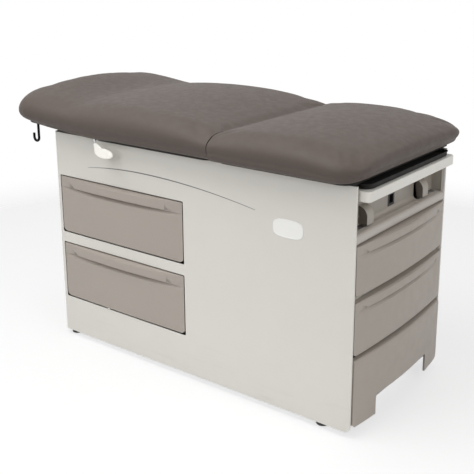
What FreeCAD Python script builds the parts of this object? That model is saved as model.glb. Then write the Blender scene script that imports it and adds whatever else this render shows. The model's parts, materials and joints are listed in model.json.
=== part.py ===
import FreeCAD, Part
import math
import os

V = FreeCAD.Vector
X_AXIS = V(1, 0, 0)
Y_AXIS = V(0, 1, 0)
Z_AXIS = V(0, 0, 1)
ORIGIN = V(0, 0, 0)
SAME = 0.01
DIAGONAL = math.sqrt(0.5)

# Overall sizes of the table, in millimetres
TABLE_LENGTH = 1378.0
PAD_WIDTH = 698.0
HEAD_OVERHANG = 154.0
FOOT_SETBACK = 48.0
SIDE_OVERHANG = 72.5
PANEL_BASE_Z = 18.0
PANEL_HEIGHT = 717.0

# Sheet metal of the cabinet
SHEET = 2.0
HEAD_CORNER_R = 20.0
HEAD_RETURN = 60.0
HEAD_LAP = 34.0
HEM_LENGTH = 12.0
HEM_THICKNESS = 6.0
HEM_ROUND = 2.4
PANEL_TOE_R = 20.0
OPENING_R = 4.0
FLOOR_LIFT = 2.0
FLOOR_FLANGE = 23.0
FLOOR_SETBACK = 41.0
DECK_DROP = 139.0
DECK_SETBACK = 28.0

# Clearances
SLIDE_GAP = 0.5
BAR_GAP = 0.4
LIFT_GAP = 0.3
PIN_GAP = 0.05

# Levelling feet
FOOT_R = 20.0
FOOT_PAD_H = 8.0
FOOT_STEM_R = 5.0
FOOT_NUT_R = 9.0
FOOT_NUT_H = 5.0
FOOT_INSET_X_HEAD = 32.0
FOOT_INSET_X_FOOT = 108.0
FOOT_INSET_Y = 32.0

# Rails under the pads
RAIL_RISE = 6.0
RAIL_HEIGHT = 17.0
RAIL_WIDTH = 20.0
RAIL_BEVEL = 2.0
MID_RAIL_OFFSET = 42.0

# Boards and pads
BOARD_T = 12.0
BOARD_INSET = 39.0
BOARD_HEAD_INSET = 39.0
BOARD_FOOT_INSET = 34.0
BOARD_CORNER_R = 40.0
SEAT_LENGTH = 502.0
SPLIT_GAP = 1.5
CREASE_RISE = 42.0
CREASE_HALF_ANGLE = 40.0
CREASE_LIP = 18.0
CREASE_DIMPLE = 8.0
CREASE_ROLL = 95.0
PILLOW_TOP = 118.0
BACK_TOP = 99.0
BACK_CROWN = 6.0
SEAT_TOP = 91.0
PAD_CROWN = 11.0
PAD_EDGE_ROLL = 60.0
PAD_UNDER_ROLL = 45.0
PAD_SIDE_SHARE = 0.45
END_ROLL = 60.0
END_DROP = 48.0
END_TUCK = 21.0
END_CORNER = 100.0
PILLOW_LENGTH = 92.0
PILLOW_SLOPE = 80.0
SEAT_END_ROLL = 110.0
SEAT_END_DROP = 57.0
SEAT_END_TUCK = 6.0
ROLL_STEPS = 3
SLOPE_STEPS = 3
SPAN_STEPS = 3

# Backrest hinges
HINGE_INSET = 110.0
HINGE_EAR_T = 4.0
HINGE_EAR_GAP = 0.5
HINGE_EAR_R = 6.0
HINGE_PIN_R = 3.0
HINGE_PIN_OVER = 2.0
HINGE_FOOT_NEAR = 4.0
HINGE_FOOT_FAR = 34.0
HINGE_SLOT_GAP = 3.0

# Gas spring under the backrest
SPRING_LOW_BACK = 50.0
SPRING_LOW_RISE = 120.0
SPRING_HIGH_BACK = 393.0
SPRING_HIGH_DROP = 26.0
SPRING_TUBE_R = 11.0
SPRING_BORE_R = 9.0
SPRING_ROD_R = 5.0
SPRING_EYE_R = 13.0
SPRING_EYE_HALF = 12.0
SPRING_PIN_R = 5.0
SPRING_TUBE_START = 10.0
SPRING_TUBE_END = 240.0
SPRING_TUBE_WALL = 8.0
SPRING_PISTON_AT = 110.0
SPRING_PISTON_H = 12.0
SPRING_HEAD_R = 9.0
SPRING_HEAD_HALF = 8.3
BRACKET_T = 3.0
BRACKET_GAP = 0.4
BRACKET_HALF_X = 26.0
BRACKET_TOP_R = 12.0
HEAD_BRACKET_HALF_X = 30.0
HEAD_BRACKET_DROP = 44.0
STUB_R = 4.0
STUB_GAP = 0.3

# Release lever
LEVER_X_FROM_HEAD = 402.0
LEVER_ROD_R = 2.5
LEVER_DEPTH_IN_BOARD = 4.0
LEVER_INNER_Y = -24.0
LEVER_OUT = 8.0
LEVER_KNUCKLE = 3.0
LEVER_STEM_DROP = 18.0
LEVER_GROOVE_W = 16.0
LEVER_GROOVE_H = 8.0
LEVER_BEARING_L = 12.0
LEVER_BEARING_DROP = 3.0
LEVER_FINGER_T = 4.0
LEVER_FINGER_DROP = 25.0
LEVER_FINGER_HALF = 3.5
PADDLE_T = 8.0
PADDLE_TOP_R = 8.5
PADDLE_END_R = 21.0
PADDLE_RUN = 57.0
PADDLE_FALL = 27.0
PADDLE_SOCKET = 8.0
PADDLE_BEVEL = 1.6

# Paper roll hooks
HOOK_X_FROM_HEAD = 85.0
HOOK_INSET = 30.0
HOOK_WIRE_R = 2.5
HOOK_BEND_R = 13.0
HOOK_DROP = 38.0
HOOK_TIP_RISE = 16.0
HOOK_PLATE_L = 24.0
HOOK_PLATE_W = 16.0
HOOK_PLATE_T = 2.0

# Drawers, common sizes
FRONT_T = 14.0
FRONT_GAP = 4.0
LIP_ROUND = 10.0
LIP_EDGE = 2.5
LIP_ROUND_STEP = 0.3
GROOVE_HEIGHT = 14.0
GROOVE_DEPTH = 16.0
GROOVE_ROOF = 2.5
FRONT_EDGE = 5.0
FRONT_EDGE_SLOPE = 3.0
FRONT_CORNER = 12.0
BOX_WALL = 2.0
BOX_CORNER_R = 5.0
BOX_FLOOR_BEVEL = 5.0
RUNNER_T = 8.0
RUNNER_H = 20.0
RUNNER_BEVEL = 2.0
RUNNER_HOLD = 5.0
CHANNEL_T = 2.0

# Side drawers
SIDE_OPEN_W = 550.0
SIDE_OPEN_FROM_HEAD = 25.0
SIDE_OPEN_H = 203.0
SIDE_TOP_DROP = 146.0
SIDE_BRIDGE = 36.0
SIDE_FRONT_LOW_GAP = 5.0
SIDE_BOX_MARGIN = 10.0
SIDE_BOX_DEPTH = 462.0
SIDE_BOX_LOW = 14.0
SIDE_BOX_TOP = 26.0
SIDE_RUNNER_RISE = 90.0
SIDE_LIP_H = 35.0
SIDE_LIP_BOW = 14.0
SIDE_FACE_BOW = 7.0
SIDE_LOW_BOW = 5.0

# Foot end drawers
FOOT_FRONT_SIDE_GAP = 2.5
FOOT_STEP_GAP = 12.0
FOOT_LOWER_H = 157.0
FOOT_BRIDGE = 18.0
FOOT_DECK_GAP = 29.0
FOOT_BOX_MARGIN = 20.0
FOOT_BOX_REAR_GAP = 84.0
FOOT_BOX_LOW = 9.0
FOOT_BOX_TOP = 16.0
FOOT_RUNNER_SHARE = 0.46
FOOT_LIP_H = 26.0
FOOT_LIP_BOW = 20.0
FOOT_FACE_BOW = 15.0
FOOT_LOW_BOW = 15.0

# Cross rails at the foot end
CROSS_RAIL_DEPTH = 25.0
CROSS_RAIL_GAP = 2.0
CROSS_RAIL_ROOM = 2.0

# Pull-out step
STEP_TOP_Z = 237.0
STEP_LENGTH = 400.0
STEP_PROUD = 4.0
STEP_FRONT_T = 6.0
STEP_END_T = 16.0
STEP_BOW = 20.0
STEP_NOSE_R = 8.0
STEP_LIFT = 15.0
STEP_ARCH_HALF = 160.0
STEP_ARCH_H = 62.0
STEP_ARCH_R = 10.0
STEP_TOE_CUT = 9.0
STEP_SIDE_IN = 19.5
STEP_SIDE_LOW = 27.0
TREAD_T = 2.0
MAT_T = 3.0
MAT_INSET = 2.0
MAT_RIB_PITCH = 24.0
MAT_RIB_W = 4.0
MAT_RIB_DEPTH = 1.2
STEP_RUNNER_RISE = 80.0
STEP_RUNNER_H = 15.0
STEP_RUNNER_OUT = 11.0

# Leg extension board and its guides
EXT_T = 29.5
EXT_DROP = 13.0
EXT_REAR_GAP = 18.0
EXT_REACH = 30.0
EXT_SIDE_GAP = 10.5
EXT_CORNER_R = 14.0
EXT_BEVEL = 2.0
EXT_GROOVE_H = 11.0
EXT_GROOVE_D = 10.0
EXT_GUIDE_TIP_GAP = 1.0
EXT_GUIDE_FRONT = 16.0

# Treatment pan and its guides
PAN_REAR_GAP = 26.0
PAN_SETBACK = 10.0
PAN_LIFT = 2.5
PAN_DEPTH = 13.0
PAN_WALL = 2.5
PAN_RIM_T = 2.2
PAN_SIDE_GAP = 2.0
PAN_CORNER_R = 24.0
PAN_GUIDE_W = 6.5
PAN_GUIDE_T = 3.0

# Stirrup bay
BAY_DEPTH = 45.0
BAY_SIDE_GAP = 24.0
BAY_COVE_R = 14.0
BAY_TOP_GAP = 2.5
SILL_DROP = 27.0
SILL_ROUND = 12.0
SOCKET_W = 33.0
SOCKET_H = 35.0
SOCKET_RISE = 35.5
SOCKET_FLANGE = 3.0
SOCKET_FLANGE_T = 1.5
SOCKET_DEPTH = 26.0
SOCKET_WALL = 4.0
SOCKET_FIT = 0.3

# Stirrups
STIRRUP_INSET = 104.5
STIRRUP_BAR = 20.0
STIRRUP_PIVOT_BACK = 47.0
STIRRUP_BAR_LENGTH = 403.0
STIRRUP_TUBE_WALL = 2.6
STIRRUP_TUBE_FRONT = 53.0
STIRRUP_TUBE_LENGTH = 360.0
STIRRUP_SADDLE_L = 24.0
STIRRUP_PIN_R = 4.0
CUP_R = 30.0
CUP_DROP = 22.0
CUP_FLOOR_GAP = 8.0
CUP_BACK = 7.0
CUP_WIDTH = 36.0
CUP_WALL = 3.5

# Levels and places that follow from the sizes above
PAD_FOOT_X = TABLE_LENGTH / 2
PAD_HEAD_X = -PAD_FOOT_X
FOOT_X = PAD_FOOT_X - FOOT_SETBACK
HEAD_X = PAD_HEAD_X + HEAD_OVERHANG
PAD_HALF = PAD_WIDTH / 2
HALF_W = PAD_HALF - SIDE_OVERHANG
INNER_Y = HALF_W - SHEET
PANEL_TOP_Z = PANEL_BASE_Z + PANEL_HEIGHT
DECK_TOP_Z = PANEL_TOP_Z - DECK_DROP
FLOOR_Z = PANEL_BASE_Z + FLOOR_LIFT
FLOOR_TOP_Z = FLOOR_Z + SHEET
INNER_HEAD_X = HEAD_X + 2 * SHEET
BEND_END_X = HEAD_X + HEAD_CORNER_R
RAIL_TOP_Z = PANEL_TOP_Z + RAIL_RISE
RAIL_LOW_Z = RAIL_TOP_Z - RAIL_HEIGHT
RAIL_INNER_Y = INNER_Y - RAIL_WIDTH
SEAT_BOARD_Z = RAIL_TOP_Z
BACK_BOARD_Z = RAIL_TOP_Z + LIFT_GAP
SEAT_PAD_Z = SEAT_BOARD_Z + BOARD_T
BACK_PAD_Z = BACK_BOARD_Z + BOARD_T
SPLIT_X = PAD_FOOT_X - SEAT_LENGTH
HINGE_Z = SEAT_PAD_Z + CREASE_RISE
BOARD_HALF = PAD_HALF - BOARD_INSET
HOOK_Y = BOARD_HALF - HOOK_INSET
HINGE_Y = BOARD_HALF - HINGE_INSET
EXT_TOP_Z = PANEL_TOP_Z - EXT_DROP
EXT_LOW_Z = EXT_TOP_Z - EXT_T
EXT_FRONT_X = FOOT_X + EXT_REACH
EXT_HALF = INNER_Y - EXT_SIDE_GAP
FRONT_BACK_X = FOOT_X - FRONT_T
SIDE_FRONT_BACK_Y = -(HALF_W - FRONT_T)
SIDE_OPEN_X = HEAD_X + SIDE_OPEN_FROM_HEAD
SIDE_CENTRE_X = SIDE_OPEN_X + SIDE_OPEN_W / 2
PARTITION_X = 2 * SIDE_CENTRE_X - INNER_HEAD_X
SIDE_UPPER_Z = PANEL_TOP_Z - SIDE_TOP_DROP - SIDE_OPEN_H
SIDE_LOWER_Z = SIDE_UPPER_Z - SIDE_BRIDGE - SIDE_OPEN_H
FOOT_LOWER_Z = STEP_TOP_Z + FOOT_STEP_GAP
FOOT_UPPER_Z = FOOT_LOWER_Z + FOOT_LOWER_H + FOOT_BRIDGE
FOOT_UPPER_H = DECK_TOP_Z - FOOT_DECK_GAP - FOOT_UPPER_Z
CHANNEL_REAR_X = PARTITION_X + SHEET
FOOT_BOX_DEPTH = FRONT_BACK_X - CHANNEL_REAR_X - FOOT_BOX_REAR_GAP
EXT_REAR_X = SPLIT_X + EXT_REAR_GAP
MID_RAIL_X = SPLIT_X + MID_RAIL_OFFSET
STIRRUP_Y = INNER_Y - STIRRUP_INSET
BAY_HALF = STIRRUP_Y - BAY_SIDE_GAP
PIVOT_X = FOOT_X - STIRRUP_PIVOT_BACK
PIVOT_Z = DECK_TOP_Z + CUP_DROP + CUP_FLOOR_GAP
SPRING_LOW = V(SPLIT_X - SPRING_LOW_BACK, 0, DECK_TOP_Z + SPRING_LOW_RISE)
SPRING_HIGH = V(SPLIT_X - SPRING_HIGH_BACK, 0, BACK_BOARD_Z - SPRING_HIGH_DROP)
LEVER_X = PAD_HEAD_X + LEVER_X_FROM_HEAD
LEVER_Z = BACK_BOARD_Z + LEVER_DEPTH_IN_BOARD
LEVER_OUTER_Y = -(BOARD_HALF + LEVER_OUT)


# Small helpers
def box(x0, x1, y0, y1, z0, z1):
    return Part.makeBox(x1 - x0, y1 - y0, z1 - z0, V(x0, y0, z0))


def line(a, b):
    return Part.LineSegment(a, b).toShape()


def arc(a, b, c):
    return Part.Arc(a, b, c).toShape()


def prism(points, sweep):
    face = Part.Face(Part.makePolygon(points + [points[0]]))
    return face.extrude(sweep)


def edges_along(shape, axis):
    straight = [e for e in shape.Edges if isinstance(e.Curve, Part.Line)]
    return [e for e in straight if e.Curve.Direction.cross(axis).Length < SAME]


def rounded_box(x0, x1, y0, y1, z0, z1, radius, axis=Z_AXIS):
    block = box(x0, x1, y0, y1, z0, z1)
    return block.makeFillet(radius, edges_along(block, axis))


def bevelled_box(x0, x1, y0, y1, z0, z1, bevel, axis):
    block = box(x0, x1, y0, y1, z0, z1)
    return block.makeChamfer(bevel, edges_along(block, axis))


def mirrored(shape):
    return shape.mirror(ORIGIN, Y_AXIS)


def pair(shape):
    return Part.makeCompound([shape, mirrored(shape)])


def one(shape):
    return shape.removeSplitter().Solids[0]


def save(name, shape):
    shape.exportStep("parts/" + name + ".step")


# Cabinet panels
def side_panel_sheet():
    outer = -HALF_W
    bend_y = outer + HEAD_CORNER_R
    outer_mid = V(BEND_END_X - HEAD_CORNER_R * DIAGONAL, bend_y - HEAD_CORNER_R * DIAGONAL, 0)
    inner_r = HEAD_CORNER_R - SHEET
    inner_mid = V(BEND_END_X - inner_r * DIAGONAL, bend_y - inner_r * DIAGONAL, 0)
    return_y = bend_y + HEAD_RETURN
    hem_x = FOOT_X - HEM_LENGTH
    p = [
        V(FOOT_X, outer, 0), V(BEND_END_X, outer, 0), V(HEAD_X, bend_y, 0), V(HEAD_X, return_y, 0),
        V(HEAD_X + SHEET, return_y, 0), V(HEAD_X + SHEET, bend_y, 0), V(BEND_END_X, outer + SHEET, 0),
        V(hem_x, outer + SHEET, 0), V(hem_x, outer + HEM_THICKNESS, 0), V(FOOT_X, outer + HEM_THICKNESS, 0),
    ]
    edges = [
        line(p[0], p[1]), arc(p[1], outer_mid, p[2]), line(p[2], p[3]), line(p[3], p[4]), line(p[4], p[5]),
        arc(p[5], inner_mid, p[6]), line(p[6], p[7]), line(p[7], p[8]), line(p[8], p[9]), line(p[9], p[0]),
    ]
    sheet = Part.Face(Part.Wire(edges)).extrude(V(0, 0, PANEL_HEIGHT))
    sheet.translate(V(0, 0, PANEL_BASE_Z))
    hem_edges = [e for e in edges_along(sheet, Z_AXIS) if abs(e.CenterOfMass.x - FOOT_X) < SHEET]
    sheet = sheet.makeFillet(HEM_ROUND, hem_edges)
    toe_x = FOOT_X - PANEL_TOE_R
    toe_z = PANEL_BASE_Z + PANEL_TOE_R
    corner = box(toe_x, FOOT_X, outer, outer + HEM_THICKNESS, PANEL_BASE_Z, toe_z)
    round_bar = Part.makeCylinder(PANEL_TOE_R, HEM_THICKNESS, V(toe_x, outer, toe_z), Y_AXIS)
    return one(sheet.cut(corner.cut(round_bar)))


def near_side_panel():
    panel = side_panel_sheet()
    for z_low in (SIDE_UPPER_Z, SIDE_LOWER_Z):
        opening = rounded_box(SIDE_OPEN_X, SIDE_OPEN_X + SIDE_OPEN_W, -HALF_W - SHEET, -INNER_Y + SHEET,
                              z_low, z_low + SIDE_OPEN_H, OPENING_R, Y_AXIS)
        panel = panel.cut(opening)
    return one(panel)


def far_side_panel():
    return mirrored(side_panel_sheet())


def head_end_panel():
    half = HALF_W - HEAD_CORNER_R - HEAD_RETURN + HEAD_LAP
    return box(HEAD_X + SHEET, INNER_HEAD_X, -half, half, PANEL_BASE_Z, PANEL_TOP_Z)


def foot_places():
    places = []
    for x in (HEAD_X + FOOT_INSET_X_HEAD, FOOT_X - FOOT_INSET_X_FOOT):
        for side in (-1, 1):
            places.append(V(x, side * (HALF_W - FOOT_INSET_Y), 0))
    return places


def floor_pan():
    top = FLOOR_Z + FLOOR_FLANGE
    inner = INNER_Y - SHEET
    x0 = BEND_END_X
    outline = [
        V(x0, -INNER_Y, FLOOR_Z), V(x0, INNER_Y, FLOOR_Z), V(x0, INNER_Y, top), V(x0, inner, top),
        V(x0, inner, FLOOR_TOP_Z), V(x0, -inner, FLOOR_TOP_Z), V(x0, -inner, top), V(x0, -INNER_Y, top),
    ]
    return prism(outline, V(FOOT_X - FLOOR_SETBACK - x0, 0, 0))


def inner_deck():
    return box(BEND_END_X, FOOT_X - DECK_SETBACK, -INNER_Y, INNER_Y, DECK_TOP_Z - SHEET, DECK_TOP_Z)


def partition():
    half = INNER_Y - SHEET
    return box(PARTITION_X, PARTITION_X + SHEET, -half, half, FLOOR_TOP_Z, DECK_TOP_Z - SHEET)


def foot_pads():
    return Part.makeCompound([Part.makeCylinder(FOOT_R, FOOT_PAD_H, place) for place in foot_places()])


def hex_nut(centre):
    corners = []
    for i in range(6):
        turn = math.radians(60 * i)
        corners.append(centre + V(FOOT_NUT_R * math.cos(turn), FOOT_NUT_R * math.sin(turn), 0))
    return prism(corners, V(0, 0, FOOT_NUT_H))


def foot_stems():
    stems = []
    for place in foot_places():
        stem = Part.makeCylinder(FOOT_STEM_R, FLOOR_Z - FOOT_PAD_H, place + V(0, 0, FOOT_PAD_H))
        nut = hex_nut(place + V(0, 0, FLOOR_Z - FOOT_NUT_H))
        stems.append(one(stem.fuse(nut)))
    return Part.makeCompound(stems)


# Rails that carry the boards
def top_side_rails():
    rail = bevelled_box(BEND_END_X, FOOT_X - HEM_LENGTH, RAIL_INNER_Y, INNER_Y, RAIL_LOW_Z, RAIL_TOP_Z,
                        RAIL_BEVEL, X_AXIS)
    return pair(rail)


def top_cross_rails():
    rails = []
    for x in (INNER_HEAD_X, MID_RAIL_X):
        rails.append(bevelled_box(x, x + RAIL_WIDTH, -RAIL_INNER_Y, RAIL_INNER_Y, RAIL_LOW_Z, RAIL_TOP_Z,
                                  RAIL_BEVEL, Y_AXIS))
    return Part.makeCompound(rails)


def foot_end_rails():
    # each rail fills the gap between what slides below it and what slides above it
    front = FRONT_BACK_X - CROSS_RAIL_GAP
    rails = []
    upper = (FOOT_LOWER_Z + FOOT_LOWER_H - FOOT_BOX_TOP, FOOT_UPPER_Z + FOOT_BOX_LOW)
    lower = (STEP_TOP_Z, FOOT_LOWER_Z + FOOT_BOX_LOW)
    for below, above in (upper, lower):
        low = below + CROSS_RAIL_ROOM
        top = above - CROSS_RAIL_ROOM
        rails.append(bevelled_box(front - CROSS_RAIL_DEPTH, front, -INNER_Y, INNER_Y, low, top,
                                  RAIL_BEVEL, Y_AXIS))
    return Part.makeCompound(rails)


# Boards and pads
def seat_board():
    return rounded_box(SPLIT_X + HINGE_FOOT_NEAR, PAD_FOOT_X - BOARD_FOOT_INSET, -BOARD_HALF, BOARD_HALF,
                       SEAT_BOARD_Z, SEAT_PAD_Z, BOARD_CORNER_R)


def backrest_board():
    board = rounded_box(PAD_HEAD_X + BOARD_HEAD_INSET, SPLIT_X - HINGE_FOOT_NEAR, -BOARD_HALF, BOARD_HALF,
                        BACK_BOARD_Z, BACK_PAD_Z, BOARD_CORNER_R)
    groove = box(LEVER_X - LEVER_GROOVE_W / 2, LEVER_X + LEVER_GROOVE_W / 2, -PAD_HALF, LEVER_INNER_Y,
                 BACK_BOARD_Z - BOARD_T, BACK_BOARD_Z + LEVER_GROOVE_H)
    return one(board.cut(groove))


def quarter(share):
    # height of a quarter circle at a share of its run
    rest = 1.0 - min(share, 1.0)
    return math.sqrt(1.0 - rest * rest)


def ease(share):
    # smooth step from 0 to 1
    held = min(max(share, 0.0), 1.0)
    return held * held * (3.0 - 2.0 * held)


def level_arc_middle(x, flat_y, flat_z, wide_y, wide_z):
    # middle of an arc that starts level at the flat point and ends at the widest point
    run = wide_y - flat_y
    rise = abs(wide_z - flat_z)
    radius = (run * run + rise * rise) / (2 * rise)
    half_turn = math.atan2(run, radius - rise) / 2
    way = 1.0 if wide_z > flat_z else -1.0
    return V(x, flat_y + radius * math.sin(half_turn), flat_z + way * radius * (1.0 - math.cos(half_turn)))


def across(point):
    return V(point.x, -point.y, point.z)


def pad_section(x, half, low, top):
    share = (top - low) / BACK_TOP
    side = low + PAD_SIDE_SHARE * (top - low)
    widest = V(x, half, side)
    shoulder = V(x, half - PAD_EDGE_ROLL * share, top - PAD_CROWN * share)
    heel = V(x, half - PAD_UNDER_ROLL * share, low)
    upper = level_arc_middle(x, shoulder.y, shoulder.z, half, side)
    lower = level_arc_middle(x, heel.y, heel.z, half, side)
    edges = [
        line(across(heel), heel), arc(heel, lower, widest), arc(widest, upper, shoulder),
        arc(shoulder, V(x, 0, top), across(shoulder)),
        arc(across(shoulder), across(upper), across(widest)),
        arc(across(widest), across(lower), across(heel)),
    ]
    return Part.Wire(edges)


def roll_stations(length):
    return [length * (1.0 - math.cos(math.radians(90.0 * i / ROLL_STEPS))) for i in range(ROLL_STEPS + 1)]


def crease_half(distance):
    # the pads' sides draw in where the two pads meet
    return PAD_HALF - CREASE_DIMPLE * (1.0 - quarter(distance / CREASE_LIP))


def crease_top(distance, top):
    # the crease opens as a V before it rolls over into the crown
    lip_rise = CREASE_LIP / math.tan(math.radians(CREASE_HALF_ANGLE))
    lip_top = CREASE_RISE + lip_rise
    if distance <= CREASE_LIP:
        return CREASE_RISE + lip_rise * distance / CREASE_LIP
    return lip_top + (top - lip_top) * quarter((distance - CREASE_LIP) / (CREASE_ROLL - CREASE_LIP))


def crease_stations():
    rolled = [CREASE_LIP + d for d in roll_stations(CREASE_ROLL - CREASE_LIP)]
    return [0.0] + rolled


def hinge_slot(x_from, x_to, z_base):
    half = HINGE_EAR_T + HINGE_EAR_GAP / 2 + HINGE_PIN_OVER + HINGE_SLOT_GAP
    top = HINGE_Z + HINGE_EAR_R + HINGE_SLOT_GAP
    slot = box(x_from, x_to, HINGE_Y - half, HINGE_Y + half, z_base - SHEET, top)
    return pair(slot)


def backrest_pad():
    length = SPLIT_X - SPLIT_GAP / 2 - PAD_HEAD_X
    pillow_end = PILLOW_LENGTH + PILLOW_SLOPE
    spans = [PILLOW_LENGTH + PILLOW_SLOPE * i / SLOPE_STEPS for i in range(SLOPE_STEPS + 1)]
    middle = length - CREASE_ROLL - pillow_end
    spans += [pillow_end + middle * i / SPAN_STEPS for i in range(1, SPAN_STEPS)]
    crease = [length - d for d in reversed(crease_stations())]
    wires = []
    for s in roll_stations(END_ROLL) + spans + crease:
        to_crease = length - s
        rolled = quarter(s / END_ROLL)
        half = min(PAD_HALF - END_CORNER * (1.0 - quarter(s / END_CORNER)), crease_half(to_crease))
        back = BACK_TOP + BACK_CROWN * math.sin(math.pi * ease((s - pillow_end) / (length - pillow_end)))
        top = PILLOW_TOP + (back - PILLOW_TOP) * ease((s - PILLOW_LENGTH) / PILLOW_SLOPE)
        if to_crease < CREASE_ROLL:
            top = crease_top(to_crease, top)
        top -= END_DROP * (1.0 - rolled)
        low = BACK_PAD_Z + END_TUCK * (1.0 - rolled)
        wires.append(pad_section(PAD_HEAD_X + s, half, low, BACK_PAD_Z + top))
    pad = Part.makeLoft(wires, True, True)
    return one(pad.cut(hinge_slot(SPLIT_X - HINGE_FOOT_FAR - HINGE_SLOT_GAP, SPLIT_X, BACK_PAD_Z)))


def seat_pad():
    start = SPLIT_X + SPLIT_GAP / 2
    length = PAD_FOOT_X - start
    middle = length - CREASE_ROLL - SEAT_END_ROLL
    spans = [CREASE_ROLL + middle * i / SPAN_STEPS for i in range(1, SPAN_STEPS)]
    foot = [length - d for d in reversed(roll_stations(SEAT_END_ROLL))]
    wires = []
    for s in crease_stations() + spans + foot:
        to_foot = length - s
        rolled = quarter(to_foot / SEAT_END_ROLL)
        half = min(PAD_HALF - END_CORNER * (1.0 - quarter(to_foot / END_CORNER)), crease_half(s))
        top = crease_top(s, SEAT_TOP) - SEAT_END_DROP * (1.0 - rolled)
        low = SEAT_PAD_Z + SEAT_END_TUCK * (1.0 - rolled)
        wires.append(pad_section(start + s, half, low, SEAT_PAD_Z + top))
    pad = Part.makeLoft(wires, True, True)
    return one(pad.cut(hinge_slot(SPLIT_X, SPLIT_X + HINGE_FOOT_FAR + HINGE_SLOT_GAP, SEAT_PAD_Z)))


# Backrest hinges
def hinge_ear(foot_side, y_low, base_z):
    # an ear stands on its board and carries the pin at the crease
    axis = V(SPLIT_X, y_low, HINGE_Z)
    near = SPLIT_X + foot_side * HINGE_FOOT_NEAR
    far = SPLIT_X + foot_side * HINGE_FOOT_FAR
    lean = V(foot_side * HINGE_EAR_R, 0, 0)
    web = prism([V(near, y_low, base_z), V(far, y_low, base_z), axis + lean, axis - lean * 0.5],
                V(0, HINGE_EAR_T, 0))
    knuckle = Part.makeCylinder(HINGE_EAR_R, HINGE_EAR_T, axis, Y_AXIS)
    hole = Part.makeCylinder(HINGE_PIN_R + PIN_GAP, HINGE_EAR_T, axis, Y_AXIS)
    return one(web.fuse(knuckle).cut(hole))


def hinge_fixed_leaves():
    return pair(hinge_ear(1, HINGE_Y + HINGE_EAR_GAP / 2, SEAT_PAD_Z))


def hinge_moving_leaves():
    return pair(hinge_ear(-1, HINGE_Y - HINGE_EAR_GAP / 2 - HINGE_EAR_T, BACK_PAD_Z))


def hinge_pins():
    half = HINGE_EAR_T + HINGE_EAR_GAP / 2 + HINGE_PIN_OVER
    return pair(Part.makeCylinder(HINGE_PIN_R, 2 * half, V(SPLIT_X, HINGE_Y - half, HINGE_Z), Y_AXIS))


# Gas spring, drawn along the line between its two pivots
def along_spring(distance):
    return SPRING_LOW + (SPRING_HIGH - SPRING_LOW).normalize() * distance


def spring_cylinder_between(radius, start, end):
    direction = along_spring(1.0) - SPRING_LOW
    return Part.makeCylinder(radius, end - start, along_spring(start), direction)


def gas_spring_cylinder():
    eye_face = SPRING_LOW - Y_AXIS * SPRING_EYE_HALF
    eye = Part.makeCylinder(SPRING_EYE_R, 2 * SPRING_EYE_HALF, eye_face, Y_AXIS)
    hole = Part.makeCylinder(SPRING_PIN_R + PIN_GAP, 2 * SPRING_EYE_HALF, eye_face, Y_AXIS)
    bore_start = SPRING_EYE_R + SPRING_TUBE_WALL
    bore_end = SPRING_TUBE_END - SPRING_TUBE_WALL
    tube = spring_cylinder_between(SPRING_TUBE_R, SPRING_TUBE_START, SPRING_TUBE_END)
    bore = spring_cylinder_between(SPRING_BORE_R, bore_start, bore_end)
    mouth = spring_cylinder_between(SPRING_ROD_R + PIN_GAP, bore_end, SPRING_TUBE_END)
    return one(tube.fuse(eye).cut(bore).cut(mouth).cut(hole))


def gas_spring_rod():
    span = (SPRING_HIGH - SPRING_LOW).Length
    piston_end = SPRING_PISTON_AT + SPRING_PISTON_H
    head_face = SPRING_HIGH - Y_AXIS * SPRING_HEAD_HALF
    rod = spring_cylinder_between(SPRING_ROD_R, SPRING_PISTON_AT, span)
    piston = spring_cylinder_between(SPRING_BORE_R - PIN_GAP, SPRING_PISTON_AT, piston_end)
    head = Part.makeCylinder(SPRING_HEAD_R, 2 * SPRING_HEAD_HALF, head_face, Y_AXIS)
    return one(rod.fuse([piston, head]))


def spring_lower_bracket():
    inner = SPRING_EYE_HALF + BRACKET_GAP
    x = SPRING_LOW.x
    z = SPRING_LOW.z
    base = box(x - BRACKET_HALF_X, x + BRACKET_HALF_X, -inner - BRACKET_T, inner + BRACKET_T,
               DECK_TOP_Z, DECK_TOP_Z + BRACKET_T)
    pieces = [Part.makeCylinder(SPRING_PIN_R, 2 * (inner + BRACKET_T), V(x, -inner - BRACKET_T, z), Y_AXIS)]
    for y in (-inner - BRACKET_T, inner):
        pieces.append(prism([V(x - BRACKET_HALF_X, y, DECK_TOP_Z), V(x + BRACKET_HALF_X, y, DECK_TOP_Z),
                             V(x + BRACKET_TOP_R, y, z), V(x - BRACKET_TOP_R, y, z)], V(0, BRACKET_T, 0)))
        pieces.append(Part.makeCylinder(BRACKET_TOP_R, BRACKET_T, V(x, y, z), Y_AXIS))
    return one(base.fuse(pieces))


def spring_upper_bracket():
    inner = SPRING_HEAD_HALF + STUB_GAP + BRACKET_GAP
    x = SPRING_HIGH.x
    low = BACK_BOARD_Z - HEAD_BRACKET_DROP
    base = box(x - HEAD_BRACKET_HALF_X, x + HEAD_BRACKET_HALF_X, -inner - BRACKET_T, inner + BRACKET_T,
               BACK_BOARD_Z - BRACKET_T, BACK_BOARD_Z)
    pieces = []
    for y in (-inner - BRACKET_T, inner):
        pieces.append(prism([V(x - HEAD_BRACKET_HALF_X, y, BACK_BOARD_Z), V(x - BRACKET_TOP_R, y, low),
                             V(x + BRACKET_TOP_R, y, low), V(x + HEAD_BRACKET_HALF_X, y, BACK_BOARD_Z)],
                            V(0, BRACKET_T, 0)))
    for y in (-inner, SPRING_HEAD_HALF + STUB_GAP):
        pieces.append(Part.makeCylinder(STUB_R, BRACKET_GAP, V(x, y, SPRING_HIGH.z), Y_AXIS))
    return one(base.fuse(pieces))


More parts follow.
